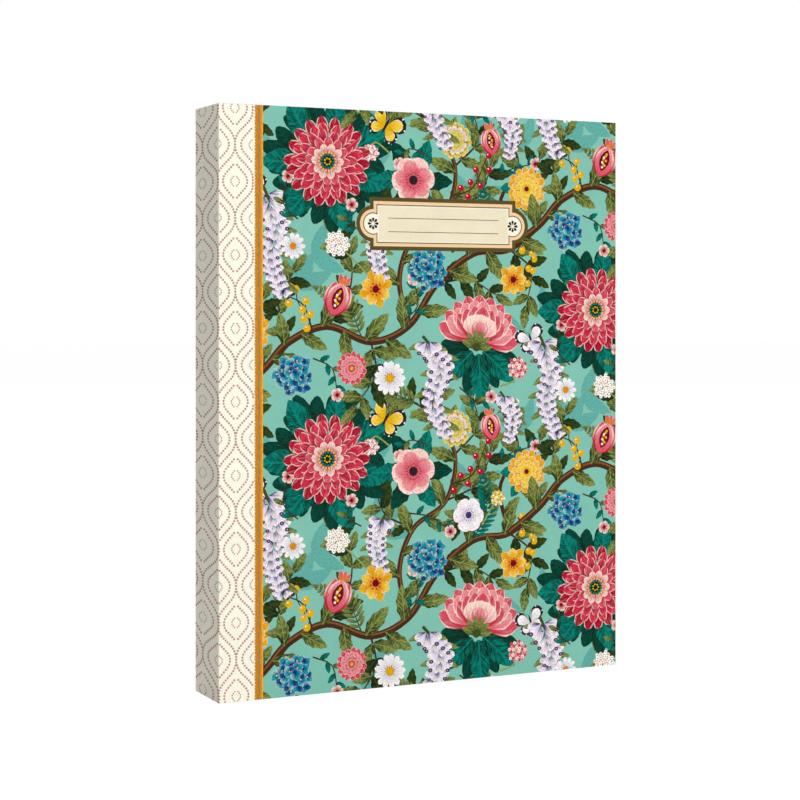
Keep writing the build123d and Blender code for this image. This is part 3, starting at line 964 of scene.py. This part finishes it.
class Sheet:
    """A printed sheet that lies flat, then is folded over the four edges of a panel."""

    def __init__(self, width, height, flaps, ground, outline=None):
        # flaps gives, for the left, right, foot and head sides, the depth of the edge and of the turn-in
        self.size = np.array([width, height])
        self.flaps = flaps
        self.ribs = []
        self.outline = self.make_outline() if outline is None else outline
        self.rings = [self.outline]
        self.inks = [(GROUND, 0, 1, *ground, *ground, 0, 0, 1, 0, 0, 1, 0)]

    def stamp(self, art, offset, stretch=(1.0, 1.0), window=EVERYWHERE):
        # Takes the shapes of a drawing that reach the sheet and whose middles lie in a window across it
        stretch = np.array(stretch)
        low, high = self.outline.min(0) / stretch, self.outline.max(0) / stretch
        for ring, ink in art.stamped(np.array(offset) / stretch, low, high):
            ring = ring * stretch
            if window[0] < ring[:, 0].mean() < window[1]:
                self.rings.append(ring)
                self.inks.append(ink)

    def make_outline(self):
        # The fore corners of the turn-ins are cut off aslant, as a binder mitres them
        width, height = self.size
        (left, _), (right, right_turn), (foot, foot_turn), (top, top_turn) = [
            past_corner(*flap) for flap in self.flaps]
        foot_cut, top_cut = min(right_turn, foot_turn), min(right_turn, top_turn)
        ring = [(0, -foot - foot_turn), (width - foot_cut, -foot - foot_turn), (width, -foot), (width, 0),
                (width + right, 0), (width + right + right_turn, foot_cut),
                (width + right + right_turn, height - top_cut), (width + right, height), (width, height),
                (width, height + top), (width - top_cut, height + top + top_turn),
                (0, height + top + top_turn), (0, height), (0 - left, height), (0 - left, 0), (0, 0)]
        return np.array([point for place, point in enumerate(ring) if point != ring[place - 1]], float)

    def fold_lines(self):
        # The lines that part the flat sheet where it bends
        low, high = self.outline.min(0) - 1, self.outline.max(0) + 1
        lines = []
        for side, (edge, _) in enumerate(self.flaps):
            if not edge:
                continue
            axis, upper = divmod(side, 2)
            stops = [-EDGE_RADIUS + EDGE_RADIUS * math.pi / 2 * share for share in (0, 1 / 3, 2 / 3, 1)]
            for stop in stops + [past_corner(edge, 0)[0]]:
                place = self.size[axis] + stop if upper else -stop
                ends = (low[1 - axis], high[1 - axis])
                lines.append([(end, place) if axis else (place, end) for end in ends])
        return lines + [[(rib, low[1]), (rib, high[1])] for rib in self.ribs]

    def fold_axis(self, flat, axis):
        # Each flat distance as a place on the panel, an angle round its edge and a depth behind its face
        size, radius = self.size[axis], EDGE_RADIUS
        place, angle, depth = flat.copy(), np.zeros_like(flat), np.zeros_like(flat)
        for upper in (0, 1):
            edge = self.flaps[2 * axis + upper][0]
            if not edge:
                continue
            past = (flat - (size - radius)) if upper else (radius - flat)
            bent = past > 0
            turn = np.clip(past[bent] / radius, 0, math.pi / 2)
            rest = np.maximum(past[bent] - radius * math.pi / 2, 0)
            deep = np.minimum(rest, edge - radius)
            reached = size - radius + radius * np.sin(turn) - (rest - deep)
            place[bent] = reached if upper else size - reached
            angle[bent] = turn
            depth[bent] = deep
        return place, angle, depth

    def build(self, name, to_space, material, lift=None):
        # to_space turns (along, up, depth) arrays into places in millimetres
        points, edges, faces = [], [], []
        for ring in self.rings:
            faces.append(list(range(len(points), len(points) + len(ring))))
            points.extend(map(Vector, ring))
        for line in self.fold_lines():
            edges.append((len(points), len(points) + 1))
            points.extend(map(Vector, line))
        # The cut has points, edges and faces, and the lines and rings that each edge and each face lies on
        cut = geometry.delaunay_2d_cdt(points, edges, faces, 0, CUT_TOLERANCE, True)
        shown = {tuple(face): max(owners) for face, owners in zip(cut[2], cut[5]) if 0 in owners}
        folds = {tuple(edge) for edge, lines in zip(cut[1], cut[4])
                 if any(line < len(edges) for line in lines)}
        flat, triangles, top = merged(cut[0], shown, folds)
        along, along_angle, along_depth = self.fold_axis(flat[:, 0], 0)
        up, up_angle, up_depth = self.fold_axis(flat[:, 1], 1)
        depth = EDGE_RADIUS * (1 - np.cos(along_angle) * np.cos(up_angle)) + along_depth + up_depth
        if lift is not None:
            depth = depth - lift(flat)
        piece = mesh_piece(name, to_space(along, up, depth), triangles, [material])
        self.write_inks(piece.data, flat, triangles, np.array(self.inks, float)[top])
        return piece

    def write_inks(self, mesh, flat, triangles, inks):
        # Each triangle's ink as attributes; what the numbers of an ink mean is said in Art
        local = flat[triangles] - inks[:, None, 9:11]
        along = local[:, :, 0] * inks[:, None, 11] + local[:, :, 1] * inks[:, None, 12]
        across = local[:, :, 0] * inks[:, None, 13] + local[:, :, 1] * inks[:, None, 14]
        bend = np.repeat(inks[:, 15:16], 3, axis=1)
        opaque = np.ones((len(inks), 1))
        put(mesh, "stroke", "FLOAT_VECTOR", "CORNER", np.stack([along, across, bend], axis=2))
        put(mesh, "ink_kind", "FLOAT_VECTOR", "FACE", inks[:, 0:3])
        put(mesh, "ink_root", "FLOAT_COLOR", "FACE", np.hstack([inks[:, 3:6], opaque]))
        put(mesh, "ink_tip", "FLOAT_COLOR", "FACE", np.hstack([inks[:, 6:9], opaque]))
        put(mesh, "flat", "FLOAT_VECTOR", "POINT", np.column_stack([flat, np.zeros(len(flat))]))
        low, high = self.outline.min(0), self.outline.max(0)
        corners = (flat[triangles] - low) / (high - low).max() * (1 - 2 * BAKE_MARGIN) + BAKE_MARGIN
        layer = mesh.uv_layers.new(name="OFBake")
        layer.data.foreach_set("uv", np.asarray(corners, np.float32).ravel())


def merged(points, shown, folds):
    # Keeps only the edges that part two inks or that are folds, and makes new triangles between them
    sides = {edge: ink for face, ink in shown.items() for edge in around(face)}
    kept = {edge: ink for edge, ink in sides.items()
            if sides.get(edge[::-1]) != ink or edge in folds or edge[::-1] in folds}
    corners = straightened(kept, points)
    number = {corner: place for place, corner in enumerate(corners)}
    edges = [edge for edge in kept if edge[0] < edge[1] or edge[::-1] not in kept]
    cut = geometry.delaunay_2d_cdt([points[corner] for corner in corners],
                                   [(number[start], number[end]) for start, end in edges], [],
                                   1, REJOIN_TOLERANCE, True)
    # The ink on the left of each edge
    left = {}
    for (start, end), lines in zip(cut[1], cut[4]):
        if lines:
            edge = edges[lines[0]]
            if (cut[0][end] - cut[0][start]).dot(points[edge[1]] - points[edge[0]]) < 0:
                edge = edge[::-1]
            left[start, end], left[end, start] = kept.get(edge), kept.get(edge[::-1])
    faces = [tuple(face) for face in cut[2]]
    found = [(face, ink) for face, ink in zip(faces, spread(faces, left)) if ink is not None]
    used, triangles = np.unique(np.array([face for face, _ in found]), return_inverse=True)
    places = np.array([tuple(v) for v in cut[0]])
    return places[used], triangles.reshape(-1, 3), np.array([ink for _, ink in found])


def straightened(kept, points):
    # Joins the kept edges that run on in one line, and returns the corners that are left
    links = {}
    for start, end in kept:
        links.setdefault(start, set()).add(end)
        links.setdefault(end, set()).add(start)
    for corner in list(links):
        if len(links[corner]) != 2:
            continue
        ends = tuple(links[corner])
        line = points[ends[1]] - points[ends[0]]
        off_line = abs(line.cross(points[corner] - points[ends[0]])) >= STRAIGHT_TOLERANCE * line.length
        if ends[1] in links[ends[0]] or off_line:
            continue
        for start, end in (ends, ends[::-1]):
            if (start, corner) in kept:
                kept[start, end] = kept.pop((start, corner))
                del kept[corner, end]
            links[start].remove(corner)
            links[start].add(end)
        del links[corner]
    return list(links)


def spread(faces, left):
    # The ink of each triangle: known by an edge with an ink on its left, and passed on up to the next edge
    owner = {edge: place for place, face in enumerate(faces) for edge in around(face)}
    inks = [None] * len(faces)
    for edge, place in owner.items():
        if left.get(edge) is not None:
            inks[place] = left[edge]
    fresh = [place for place, ink in enumerate(inks) if ink is not None]
    while fresh:
        place = fresh.pop()
        for edge in around(faces[place]):
            beside = owner.get(edge[::-1])
            if edge not in left and beside is not None and inks[beside] is None:
                inks[beside] = inks[place]
                fresh.append(beside)
    return inks


# The case: printed covers, dotted quarters and spine, ribbons

def on_cover(sheet, name, left, mirrored, material, lift=None):
    # The sheet as it lies on the front cover, or mirrored on the back cover
    def to_space(along, up, depth):
        return np.column_stack([left + along, depth - cover_face, up])
    piece = sheet.build(name, to_space, material, lift)
    if mirrored:
        mirrored_piece(piece)
    return piece


def cover_sheet(side, mirrored, art, material):
    left = ribbon_high[0]
    sheet = Sheet(cover_high[0] - left, head, [NO_FLAP, WRAP, WRAP, WRAP], TEAL)
    shift = BACK_SHIFT if mirrored else (0.0, 0.0)
    for column in range(-1, 4):
        for row in range(-2, 5):
            sheet.stamp(art, np.array([column, row + column / 2]) * TILE - shift)
    piece = on_cover(sheet, side + "_cover_print", left, mirrored, material)
    placed(piece, side + "_cover", "cover_print", side + "_cover_paper")


def stamp_dots(sheet, medallions, first, window, stretch=1.0):
    # Columns of medallions, every other one dropped by half a period
    for column in range(-4, 5):
        for row in range(-2, 10):
            place = row + 0.5 * (column % 2)
            spot = (first + column * DOT_COLUMN * stretch + DOT_LEAN * (place - 3),
                    head - DOT_CENTRE_BELOW_HEAD - DOT_PERIOD * place)
            sheet.stamp(medallions[column % 2], spot, (stretch, 1.0), window)


def dotted_strip(name, mirrored, left, right, edge, medallions, material, ribs=(), dots_end=math.inf):
    sheet = Sheet(right - left, head, [NO_FLAP, NO_FLAP, (edge, TURN_IN), (edge, TURN_IN)], CREAM)
    sheet.ribs = ribs
    stamp_dots(sheet, medallions, DOT_FIRST_COLUMN - (left - spine_face), (-math.inf, dots_end))
    return on_cover(sheet, name, left, mirrored, material)


def quarter_sheets(side, mirrored, medallions, material):
    left, right = quarter_low[0], quarter_high[0]
    piece = dotted_strip(side + "_quarter_print", mirrored, left, right, wrap_edge, medallions, material,
                         dots_end=ribbon_low[0] - left - DOT_GAP_BY_RIBBON)
    placed(piece, side + "_cover", "quarter_paper", side + "_quarter_paper")
    # The joint paper is cut into narrow strips
    left, right, edge = joint_low[0], quarter_low[0], joint_high[1] - joint_low[1]
    ribs = np.linspace(0, right - left, JOINT_STRIPS + 1)[1:-1]
    piece = dotted_strip(side + "_joint_print", mirrored, left, right, edge, medallions, material, ribs)
    placed(piece, None, "quarter_paper", side + "_joint_paper")
    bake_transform(piece)


def spine_sheet(medallions, corner_medallions, material):
    width = 2 * cover_face
    wrap = (spine_edge, TURN_IN)
    sheet = Sheet(width, head, [(spine_edge, 0), (spine_edge, 0), wrap, wrap], CREAM)
    stamp_dots(sheet, medallions, width - SPINE_COLUMN_FROM_CORNER, (0, width), SPINE_STRETCH)
    stamp_dots(sheet, corner_medallions, width + DOT_FIRST_COLUMN, (width, math.inf))
    stamp_dots(sheet, corner_medallions, -DOT_FIRST_COLUMN, (-math.inf, 0))

    def on_spine(along, up, depth):
        return np.column_stack([spine_face + depth, cover_face - along, up])
    placed(sheet.build("spine_print", on_spine, material), "spine", "quarter_paper", "spine_paper")


def ribbon_sheet(side, mirrored, material):
    # A thin pale selvedge by the dotted paper, then stripes from brown to bright orange with a scalloped edge
    left = ribbon_low[0]
    width = ribbon_high[0] - left
    sheet = Sheet(width, head, [NO_FLAP, NO_FLAP, WRAP, WRAP], SELVEDGE)
    low, high = sheet.outline[:, 1].min(), sheet.outline[:, 1].max()
    rng = random.Random(17)
    stops = [high]
    while stops[-1] > low:
        stops.append(stops[-1] - RIBBON_STITCH / 4 * rng.uniform(0.8, 1.2))
    stops[-1] = low
    scallops = [(RIBBON_SELVEDGE + RIBBON_TOOTH * (0.5, 0.0, -0.5, 0.0)[place % 4], stop)
                for place, stop in enumerate(stops)]
    art = Art()
    art.add([(width, low), (width, high)] + scallops, STEM, RIBBON_GOLD, RIBBON_GOLD)
    for start, end, colour in RIBBON_STRIPES:
        art.add([(start, low), (end, low), (end, high), (start, high)], STEM, colour, colour)
    sheet.rings += art.rings
    sheet.inks += art.inks
    slope = ribbon_crown * 1.6
    sheet.ribs = [slope, width - ribbon_crown]

    def crown(flat):
        rise = np.minimum(flat[:, 0], width - flat[:, 0]) / slope
        return ribbon_crown * np.clip(rise, 0, 1) * ((flat[:, 1] > 0) & (flat[:, 1] < head))
    piece = on_cover(sheet, side + "_ribbon_weave", left, mirrored, material, crown)
    placed(piece, side + "_cover", "ribbon", side + "_ribbon")


# The title label

def plaque(inset, width, height, ear, steps=14):
    # The label's outline, drawn in by an inset: a rectangle joined with a round ear at each end
    half_width, half_height = width / 2 - inset, height / 2 - inset
    radius = EAR_RADIUS - inset
    reach = half_width - ear
    start = math.atan2(-math.sqrt(max(radius ** 2 - reach ** 2, 0.01)), reach)
    angles = [start - 2 * start * step / steps for step in range(steps + 1)]
    bulge = [(ear + math.cos(angle) * radius, math.sin(angle) * radius) for angle in angles]
    ring = [(half_width, -half_height)] + bulge + [(half_width, half_height)]
    return np.array(ring + [(-x, y) for x, y in reversed(ring)])


def title_label(material, edge_material):
    size, middle = label_high - label_low, (label_low + label_high) / 2
    width, height = LABEL_BODY_WIDTH, size[2]
    ear = size[0] / 2 - EAR_RADIUS
    art = Art()
    for inset, colour in LABEL_FRAME:
        art.add(plaque(inset, width, height, ear), GROUND, colour, colour)
    x, y = width / 2 - LABEL_FIELD_INSET, height / 2 - LABEL_FIELD_INSET
    art.add([(-x, -y), (x, -y), (x, y), (-x, y)], GROUND, LABEL_FIELD, LABEL_FIELD)
    # Two ruled lines for a title that the owner writes in
    x, half = LABEL_RULE_HALF_LENGTH, LABEL_RULE_HALF_WIDTH
    for rise in LABEL_RULES:
        line = [(-x, rise - half), (x, rise - half), (x, rise + half), (-x, rise + half)]
        art.add(line, DOT, BORDER_LINE, BORDER_LINE)
    for side in (-1, 1):
        whorl(art, (side * ear, 0.0), LABEL_ROSETTE_PETALS, 0, *LABEL_ROSETTE_PETAL, [(INK, INK)],
              kind=DOT, power=1.9)
    sheet = Sheet(0, 0, [NO_FLAP] * 4, OLIVE_BORDER, art.rings[0])
    sheet.rings += art.rings[1:]
    sheet.inks += art.inks[1:]

    def on_label(along, up, depth):
        return np.column_stack([middle[0] + along, np.full(len(along), label_low[1]), middle[2] + up])
    piece = sheet.build("title_plaque", on_label, material)
    thicken(piece, (0, size[1] * MM, 0), edge_material)
    placed(piece, "front_cover", "label_paper", "title_label")


def thicken(piece, offset, material):
    # Walls from the open rim of a flat piece back to the surface that it is pasted to, and a back
    mesh = piece.data
    sides = [edge for face in mesh.polygons for edge in around(list(face.vertices))]
    known = set(sides)
    rim = {start: end for start, end in sides if (end, start) not in known}
    ring = [next(iter(rim))]
    while rim[ring[-1]] != ring[0]:
        ring.append(rim[ring[-1]])
    front = [mesh.vertices[v].co.copy() for v in ring]
    back = [place + Vector(offset) for place in front]
    walls = bpy.data.meshes.new(piece.name + "_edge")
    walls.from_pydata(front + back, [], ring_walls(len(ring)) + [[len(ring) + i for i in range(len(ring))]])
    walls.materials.append(material)
    extra = in_scene(walls.name, walls)
    with bpy.context.temp_override(active_object=piece, selected_editable_objects=[piece, extra]):
        bpy.ops.object.join()


# The leaves

def leaf_outline(start, fore, foot, top, tab_foot):
    # The part of a leaf beyond its bend, seen from the front, anticlockwise from its foot by the spine
    if tab_foot is None:
        return [(fore, foot), (fore, top)]
    step = fore - INDEX_DEPTH
    inner, outer = INDEX_INNER_RADIUS, INDEX_OUTER_RADIUS
    return [(step, foot), *arc((step + inner, tab_foot - inner), inner, 180, 90),
            *arc((fore - outer, tab_foot + outer), outer, 270, 360), (fore, top)]


class Solid:
    """The places and faces of a piece made of several closed shapes, each face with a material and a tone."""

    def __init__(self):
        self.places, self.faces, self.slots, self.tones = [], [], [], []

    def add(self, places, faces, slot, tone=0.5):
        start = len(self.places)
        self.places.extend(places)
        self.faces.extend([[start + v for v in face] for face in faces])
        self.slots.extend([slot] * len(faces))
        self.tones.extend([tone] * len(faces))

    def leaf(self, columns, outline, foot, top, front, back, tone=0.4):
        # A closed leaf: columns of quads, then one face out to its fore edge
        ring = [(x, foot) for x in columns] + outline + [(x, top) for x in reversed(columns)]
        count, bends = len(ring), len(columns)
        places = [(x, y, z) for y in (front, back) for x, z in ring]
        faces = [[i, i + 1, count - 2 - i, count - 1 - i] for i in range(bends - 1)]
        faces.append(list(range(bends - 1, count - bends + 1)))
        faces += [[count + v for v in reversed(face)] for face in faces]
        self.add(places, faces + ring_walls(count), 0, tone)

    def build(self, name, materials):
        piece = mesh_piece(name, self.places, self.faces, materials)
        piece.data.polygons.foreach_set("material_index", self.slots)
        put(piece.data, "tone", "FLOAT", "FACE", self.tones)
        put(piece.data, "flat", "FLOAT_VECTOR", "POINT", [(x, z, y) for x, y, z in self.places])
        piece.data.update()
        return piece


def letter_mesh(text, size):
    # The outline of a letter as flat faces about its middle, in millimetres
    line = bpy.data.curves.new("letter", "FONT")
    line.body, line.size = text, size
    line.align_x, line.align_y = "CENTER", "CENTER"
    line.resolution_u = 3
    holder = in_scene("letter", line)
    mesh = bpy.data.meshes.new_from_object(holder)
    places = [(v.co.x, v.co.y) for v in mesh.vertices]
    faces = [list(face.vertices) for face in mesh.polygons]
    for thing, store in ((holder, bpy.data.objects), (line, bpy.data.curves), (mesh, bpy.data.meshes)):
        store.remove(thing)
    return places, faces


def add_tab(solid, index, text, front, back):
    # The printed band of a tab with its letter, on the first page of the section and on its last
    fore, top = block_fore - TAB_PRINT_FORE_MARGIN, block_head - index * TAB_HEIGHT - TAB_PRINT_MARGIN
    foot = top - TAB_HEIGHT + TAB_PRINT_MARGIN * 2
    inner, radius = fore - INDEX_DEPTH + TAB_PRINT_INNER_MARGIN, TAB_PRINT_RADIUS
    band = [(inner, foot), *arc((fore - radius, foot + radius), radius, 270, 360), (fore, top), (inner, top)]
    middle = ((inner + fore) / 2, (foot + top) / 2)
    spots, glyph = letter_mesh(text, LETTER_SIZE if len(text) == 1 else TRIPLE_LETTER_SIZE)
    for y, lift, facing in ((front, -INK_LIFT, 1), (back, INK_LIFT, -1)):
        face = list(range(len(band)))[::facing]
        solid.add([(x, y + lift, z) for x, z in band], [face], 1)
        solid.add([(middle[0] + facing * x, y + lift * 2, middle[1] + z) for x, z in spots], glyph, 2)


def bend_columns(bend):
    return np.linspace(bend, bend + BEND_LENGTH, 9)


def turn_with(piece):
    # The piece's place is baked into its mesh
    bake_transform(piece)


def section_pages(index, letter, materials, rng):
    body = "section_" + letter
    low, high = extent(body)
    bend = joints[body + "_turn"]["pos_m"][0] / MM
    solid = Solid()
    columns = [*np.linspace(block_back + LEAF_BACK_GAP, bend - 0.4, 3), *bend_columns(bend)]
    for number in range(LEAVES):
        front = low[1] + (number + LEAF_MARGIN_SHARE) * LEAF_PITCH
        fore = block_fore - rng.uniform(0, FORE_WANDER)
        foot, top = block_foot + rng.uniform(0, HEAD_WANDER), block_head - rng.uniform(0, HEAD_WANDER)
        tab_foot = None
        if letter != letters[-1]:
            tab_foot = block_head - (index + 1) * TAB_HEIGHT + rng.uniform(-INDEX_WANDER, INDEX_WANDER)
        outline = leaf_outline(columns[-1], fore, foot, top, tab_foot)
        solid.leaf(columns, outline, foot, top, front, front + LEAF_THICKNESS, rng.random())
    first_front = low[1] + LEAF_MARGIN_SHARE * LEAF_PITCH
    add_tab(solid, index, letter.upper(), first_front, front + LEAF_THICKNESS)
    piece = solid.build("pages_" + letter, [materials["page"], materials["tab"][index % len(TAB_COLOURS)],
                                             materials["letter"]])
    placed(piece, None, "page_paper", *((body, "section_backs") if index == 0 else (body,)))
    turn_with(piece)


# The endpapers

def endpaper(name, leaves, mirrored, material, replaced):
    # A piece of closed leaves as high as the block, each with its columns, fore edge, front and back
    solid = Solid()
    for columns, fore, front, back in leaves:
        outline = [(fore, block_foot), (fore, block_head)]
        solid.leaf(columns, outline, block_foot, block_head, front, back)
    piece = solid.build(name, [material])
    if mirrored:
        mirrored_piece(piece)
    placed(piece, None, "endpaper", replaced)
    return piece


def endpapers(side, mirrored, material):
    body = side + "_flyleaf"
    bend = joints[body + "_turn"]["pos_m"][0] / MM
    front, back = flyleaf_low[1], flyleaf_high[1]
    fold_front, fold_end = pasted_face - ENDPAPER_THICKNESS, block_back + ENDPAPER_THICKNESS
    board_edge = quarter_low[0]
    # The free leaf with its folded edge against the block's shoulder
    columns = [fold_end, bend - 2, bend - 0.5, *bend_columns(bend)]
    leaves = [(columns, flyleaf_high[0], front, back),
              ([block_back, block_back + 0.08], fold_end, fold_front, back)]
    piece = endpaper(side + "_flyleaf_paper", leaves, mirrored, material, body)
    turn_with(piece)
    # The fold that bridges the joint
    columns = list(np.linspace(fold_end, board_edge - 0.05, 14))
    leaves = [(columns[:-1], columns[-1], fold_front, pasted_face)]
    piece = endpaper(side + "_endpaper_bridge", leaves, mirrored, material, side + "_endpaper_fold")
    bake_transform(piece)


# The bands at the head and tail

def wound_cord(centre_x, centre_z, radius, start, length):
    # A cord wound with thread: its places, its faces, and the turn and the share of a turn at each place
    rings, sides = round(length / THREAD_PITCH) * RINGS_PER_THREAD + 1, CORD_SIDES
    places, faces, flat = [], [], []
    for ring in range(rings):
        for side in range(sides):
            angle = 2 * math.pi * side / sides
            turn = ring / RINGS_PER_THREAD + side / sides * 2
            bulge = math.sqrt(math.sin(math.pi * (turn % 1)))
            size = radius * (1 - THREAD_DEPTH_SHARE + THREAD_DEPTH_SHARE * bulge)
            places.append((centre_x + size * math.cos(angle), start + length * ring / (rings - 1),
                           centre_z + size * math.sin(angle)))
            flat.append((turn, turn % 1, 0))
    for ring in range(rings - 1):
        for side in range(sides):
            a, b = ring * sides + side, ring * sides + (side + 1) % sides
            faces.append([a, b, b + sides, a + sides])
    faces += [list(range(sides)), list(range((rings - 1) * sides, rings * sides))[::-1]]
    return places, faces, flat


def wound_band(name, material):
    # A cord wound with two coloured threads, over a cloth tongue that is glued to the block's back
    low, high = extent(name)
    at_head = name == "head_band"
    radius = (high[0] - low[0]) / 2
    centre_z = high[2] - radius if at_head else low[2] + radius
    length = high[1] - low[1]
    places, faces, flat = wound_cord(low[0] + radius, centre_z, radius, low[1], length)
    base, last = len(places), TONGUE_STEPS * 4
    for step in range(TONGUE_STEPS + 1):
        y = low[1] + length * step / TONGUE_STEPS
        places += [(x, y, z) for x in (low[0], low[0] + TONGUE_THICKNESS)
                   for z in (low[2] if at_head else high[2], centre_z)]
        flat += [(step / 2, 0.5, 1)] * 4
    for a in range(base, base + last, 4):
        faces += [[a + one, a + two, a + two + 4, a + one + 4]
                  for one, two in ((0, 1), (1, 3), (3, 2), (2, 0))]
    faces += [[base, base + 1, base + 3, base + 2], [base + last + v for v in (0, 2, 3, 1)]]
    piece = mesh_piece(name + "_wound", places, faces, [material])
    put(piece.data, "flat", "FLOAT_VECTOR", "POINT", flat)
    placed(piece, "spine", "band_cotton", name)


# Plain finishes

def paper_finish(name, colour, roughness, fibre=0.05, fine=0.03, flat=True, overprint=None):
    # Paper with clouds and a fine grain; an overprint works on the colour that they give
    finish = Finish(name, roughness, 0.25)
    where = finish.attribute("flat", "Vector") if flat else finish.place()
    cloud = finish.noise(where, 0.06, 4.0)
    grain = finish.noise(where, 2.4, 3.0)
    shaded = finish.toned(colour, (cloud - 0.5) * fibre * 2 + (grain - 0.5) * fine * 2 + 1.0)
    finish.colour(overprint(finish, shaded, where) if overprint else shaded)
    finish.bump(grain, 0.15, 0.00003)
    return finish.material


def ruled(finish, shaded, where):
    # Ruled lines on the pages, and a slightly different tone for each leaf, which shows at the block's edges
    x, z, _ = finish.split(where)
    tone = Field(finish.tree, finish.attribute("tone")) * 0.12 + 0.9
    rule = ((z / RULE_PITCH).math("FRACT") - 0.5).math("ABSOLUTE").math("GREATER_THAN", 0.484)
    for place, (low, high) in ((x, RULES_ACROSS), (z, RULES_UP)):
        rule = rule * place.math("GREATER_THAN", low) * place.math("LESS_THAN", high)
    return finish.mix(rule * 0.65, finish.toned(shaded, tone), RULE_INK)


def board_finish():
    finish = Finish("grey board", 0.9, 0.2)
    fibres = finish.noise(finish.place(), 1.8, 4.0)
    finish.colour(finish.mix(fibres, BOARD_SHADE, BOARD_FIBRE))
    finish.bump(fibres, 0.3, 0.0001)
    return finish.material


def mull_finish():
    # Threads a millimetre apart that cross over and under
    finish = Finish("mull", 0.85, 0.2)
    x, y, z = finish.split(finish.place())
    warp, weft = [(run * math.pi).math("SINE").math("ABSOLUTE") for run in (z, y + x)]
    weave = (warp * weft).clamp()
    finish.colour(finish.mix(weave, MULL_SHADE, MULL_THREAD))
    finish.bump(weave, 0.5, 0.0002)
    return finish.material


def band_finish():
    # Four turns of one thread, then four of the other
    finish = Finish("band threads", 0.7, 0.3)
    flat = finish.attribute("flat", "Vector")
    turn, phase, cloth = finish.split(flat)
    second = (turn / 4.0).math("FRACT").math("GREATER_THAN", 0.5)
    colour = finish.mix(second, GOLD_THREAD, CREAM_THREAD)
    # Painted shade: each turn is darkened to half at its start, in the groove by the turn before
    colour = finish.toned(colour, phase.smooth(0.0, 0.2) * 0.5 + 0.5)
    finish.colour(finish.mix(cloth, colour, TONGUE_CLOTH))
    finish.bump(finish.noise(flat, 6.0, 3.0), 0.3, 0.00005)
    return finish.material


# The set

def seen(tree):
    # 1 for what the camera sees straight, mirrored or through something, and 0 for the light on the object
    rays = add_node(tree, "LightPath", {}).outputs
    camera, glossy, through = [Field(tree, rays["Is " + kind + " Ray"])
                               for kind in ("Camera", "Glossy", "Transmission")]
    return camera.math("MAXIMUM", glossy).math("MAXIMUM", through)


def floor_finish():
    # A pale floor: the camera sees it nearly white, and it keeps the object's soft shadow
    finish = Finish("pale floor", 0.9, 0.5)
    finish.colour((0.86, 0.86, 0.86))
    tree = finish.tree
    glow = add_node(tree, "Emission", {"Strength": FLOOR_GLOW})
    mix = add_node(tree, "MixShader", {0: seen(tree) * FLOOR_GLOW_SHARE, 1: finish.shader.outputs[0],
                                       2: glow.outputs[0]})
    tree.links.new(mix.outputs[0], tree.nodes["Material Output"].inputs["Surface"])
    return finish.material


def make_stage():
    corners = [(x * FLOOR_HALF, y * FLOOR_HALF, -FLOOR_DROP) for x, y in ((-1, -1), (1, -1), (1, 1), (-1, 1))]
    mesh_piece("floor", corners, [[0, 1, 2, 3]], [floor_finish()])
    world = bpy.data.worlds.new("studio")
    bpy.context.scene.world = world
    world.use_nodes = True
    sky = world.node_tree.nodes["Background"].inputs
    sky["Color"].default_value = (1, 1, 1, 1)
    feed(world.node_tree, seen(world.node_tree) * (1 - WORLD_LIGHT) + WORLD_LIGHT, sky["Strength"])


def make_lamps():
    for name, place, power, size in LAMPS:
        light = bpy.data.lights.new(name, "AREA")
        light.energy, light.shape, light.size = power, "SQUARE", size
        holder = in_scene(name, light)
        holder.location = place
        holder.rotation_euler = (Vector(LAMP_TARGET) - Vector(place)).to_track_quat("-Z", "Y").to_euler()


def make_camera():
    lens = bpy.data.cameras.new("camera")
    lens.lens, lens.sensor_width, lens.shift_y = CAMERA_LENS, CAMERA_SENSOR, CAMERA_SHIFT
    camera = in_scene("camera", lens)
    camera.location = CAMERA_PLACE
    camera.rotation_euler = (math.radians(90), 0, math.radians(CAMERA_HEADING))
    bpy.context.scene.camera = camera
    bpy.context.scene.view_settings.view_transform = "Standard"


def dress_case():
    printed = printed_finish("printed cover", 0.5)
    dotted = printed_finish("dotted paper", 0.55)
    woven = ribbon_finish()
    art = cover_art()
    medallions = medallion_pair(ROSE_DOT, PALE_DOT)
    for side, mirrored in SIDES:
        cover_sheet(side, mirrored, art, printed)
        quarter_sheets(side, mirrored, medallions, dotted)
        ribbon_sheet(side, mirrored, woven)
    spine_sheet(medallion_pair(BROWN_DOT, PALE_BROWN_DOT), medallions, dotted)
    title_label(printed_finish("label paper", 0.5), paper_finish("label edge", LABEL_EDGE, 0.6))


def dress_block():
    tabs = [paper_finish("tab ink " + str(number), colour, 0.7, 0.03, 0.05)
            for number, colour in enumerate(TAB_COLOURS, 1)]
    materials = {"page": paper_finish("page paper", PAGE, 0.75, overprint=ruled), "tab": tabs,
                 "letter": paper_finish("letter ink", LETTER_INK, 0.7, 0.03, 0.05)}
    rng = random.Random(5)
    for index, letter in enumerate(letters):
        section_pages(index, letter, materials, rng)
    paper = paper_finish("endpaper", ENDPAPER, 0.7)
    for side, mirrored in SIDES:
        endpapers(side, mirrored, paper)
    threads = band_finish()
    for name in ("head_band", "tail_band"):
        wound_band(name, threads)


def dress_nodes():
    # The nodes whose own shape shows get a material only
    finishes = {"board": board_finish(), "mull": mull_finish(),
                "pastedown": paper_finish("pastedown", ENDPAPER, 0.7, flat=False),
                "lining": paper_finish("kraft lining", KRAFT, 0.8, 0.12, 0.12, flat=False)}
    for name, node in nodes.items():
        for word, material in finishes.items():
            if name.endswith(word):
                node.data.materials.clear()
                node.data.materials.append(material)


dress_case()
dress_block()
dress_nodes()
make_stage()
make_lamps()
make_camera()
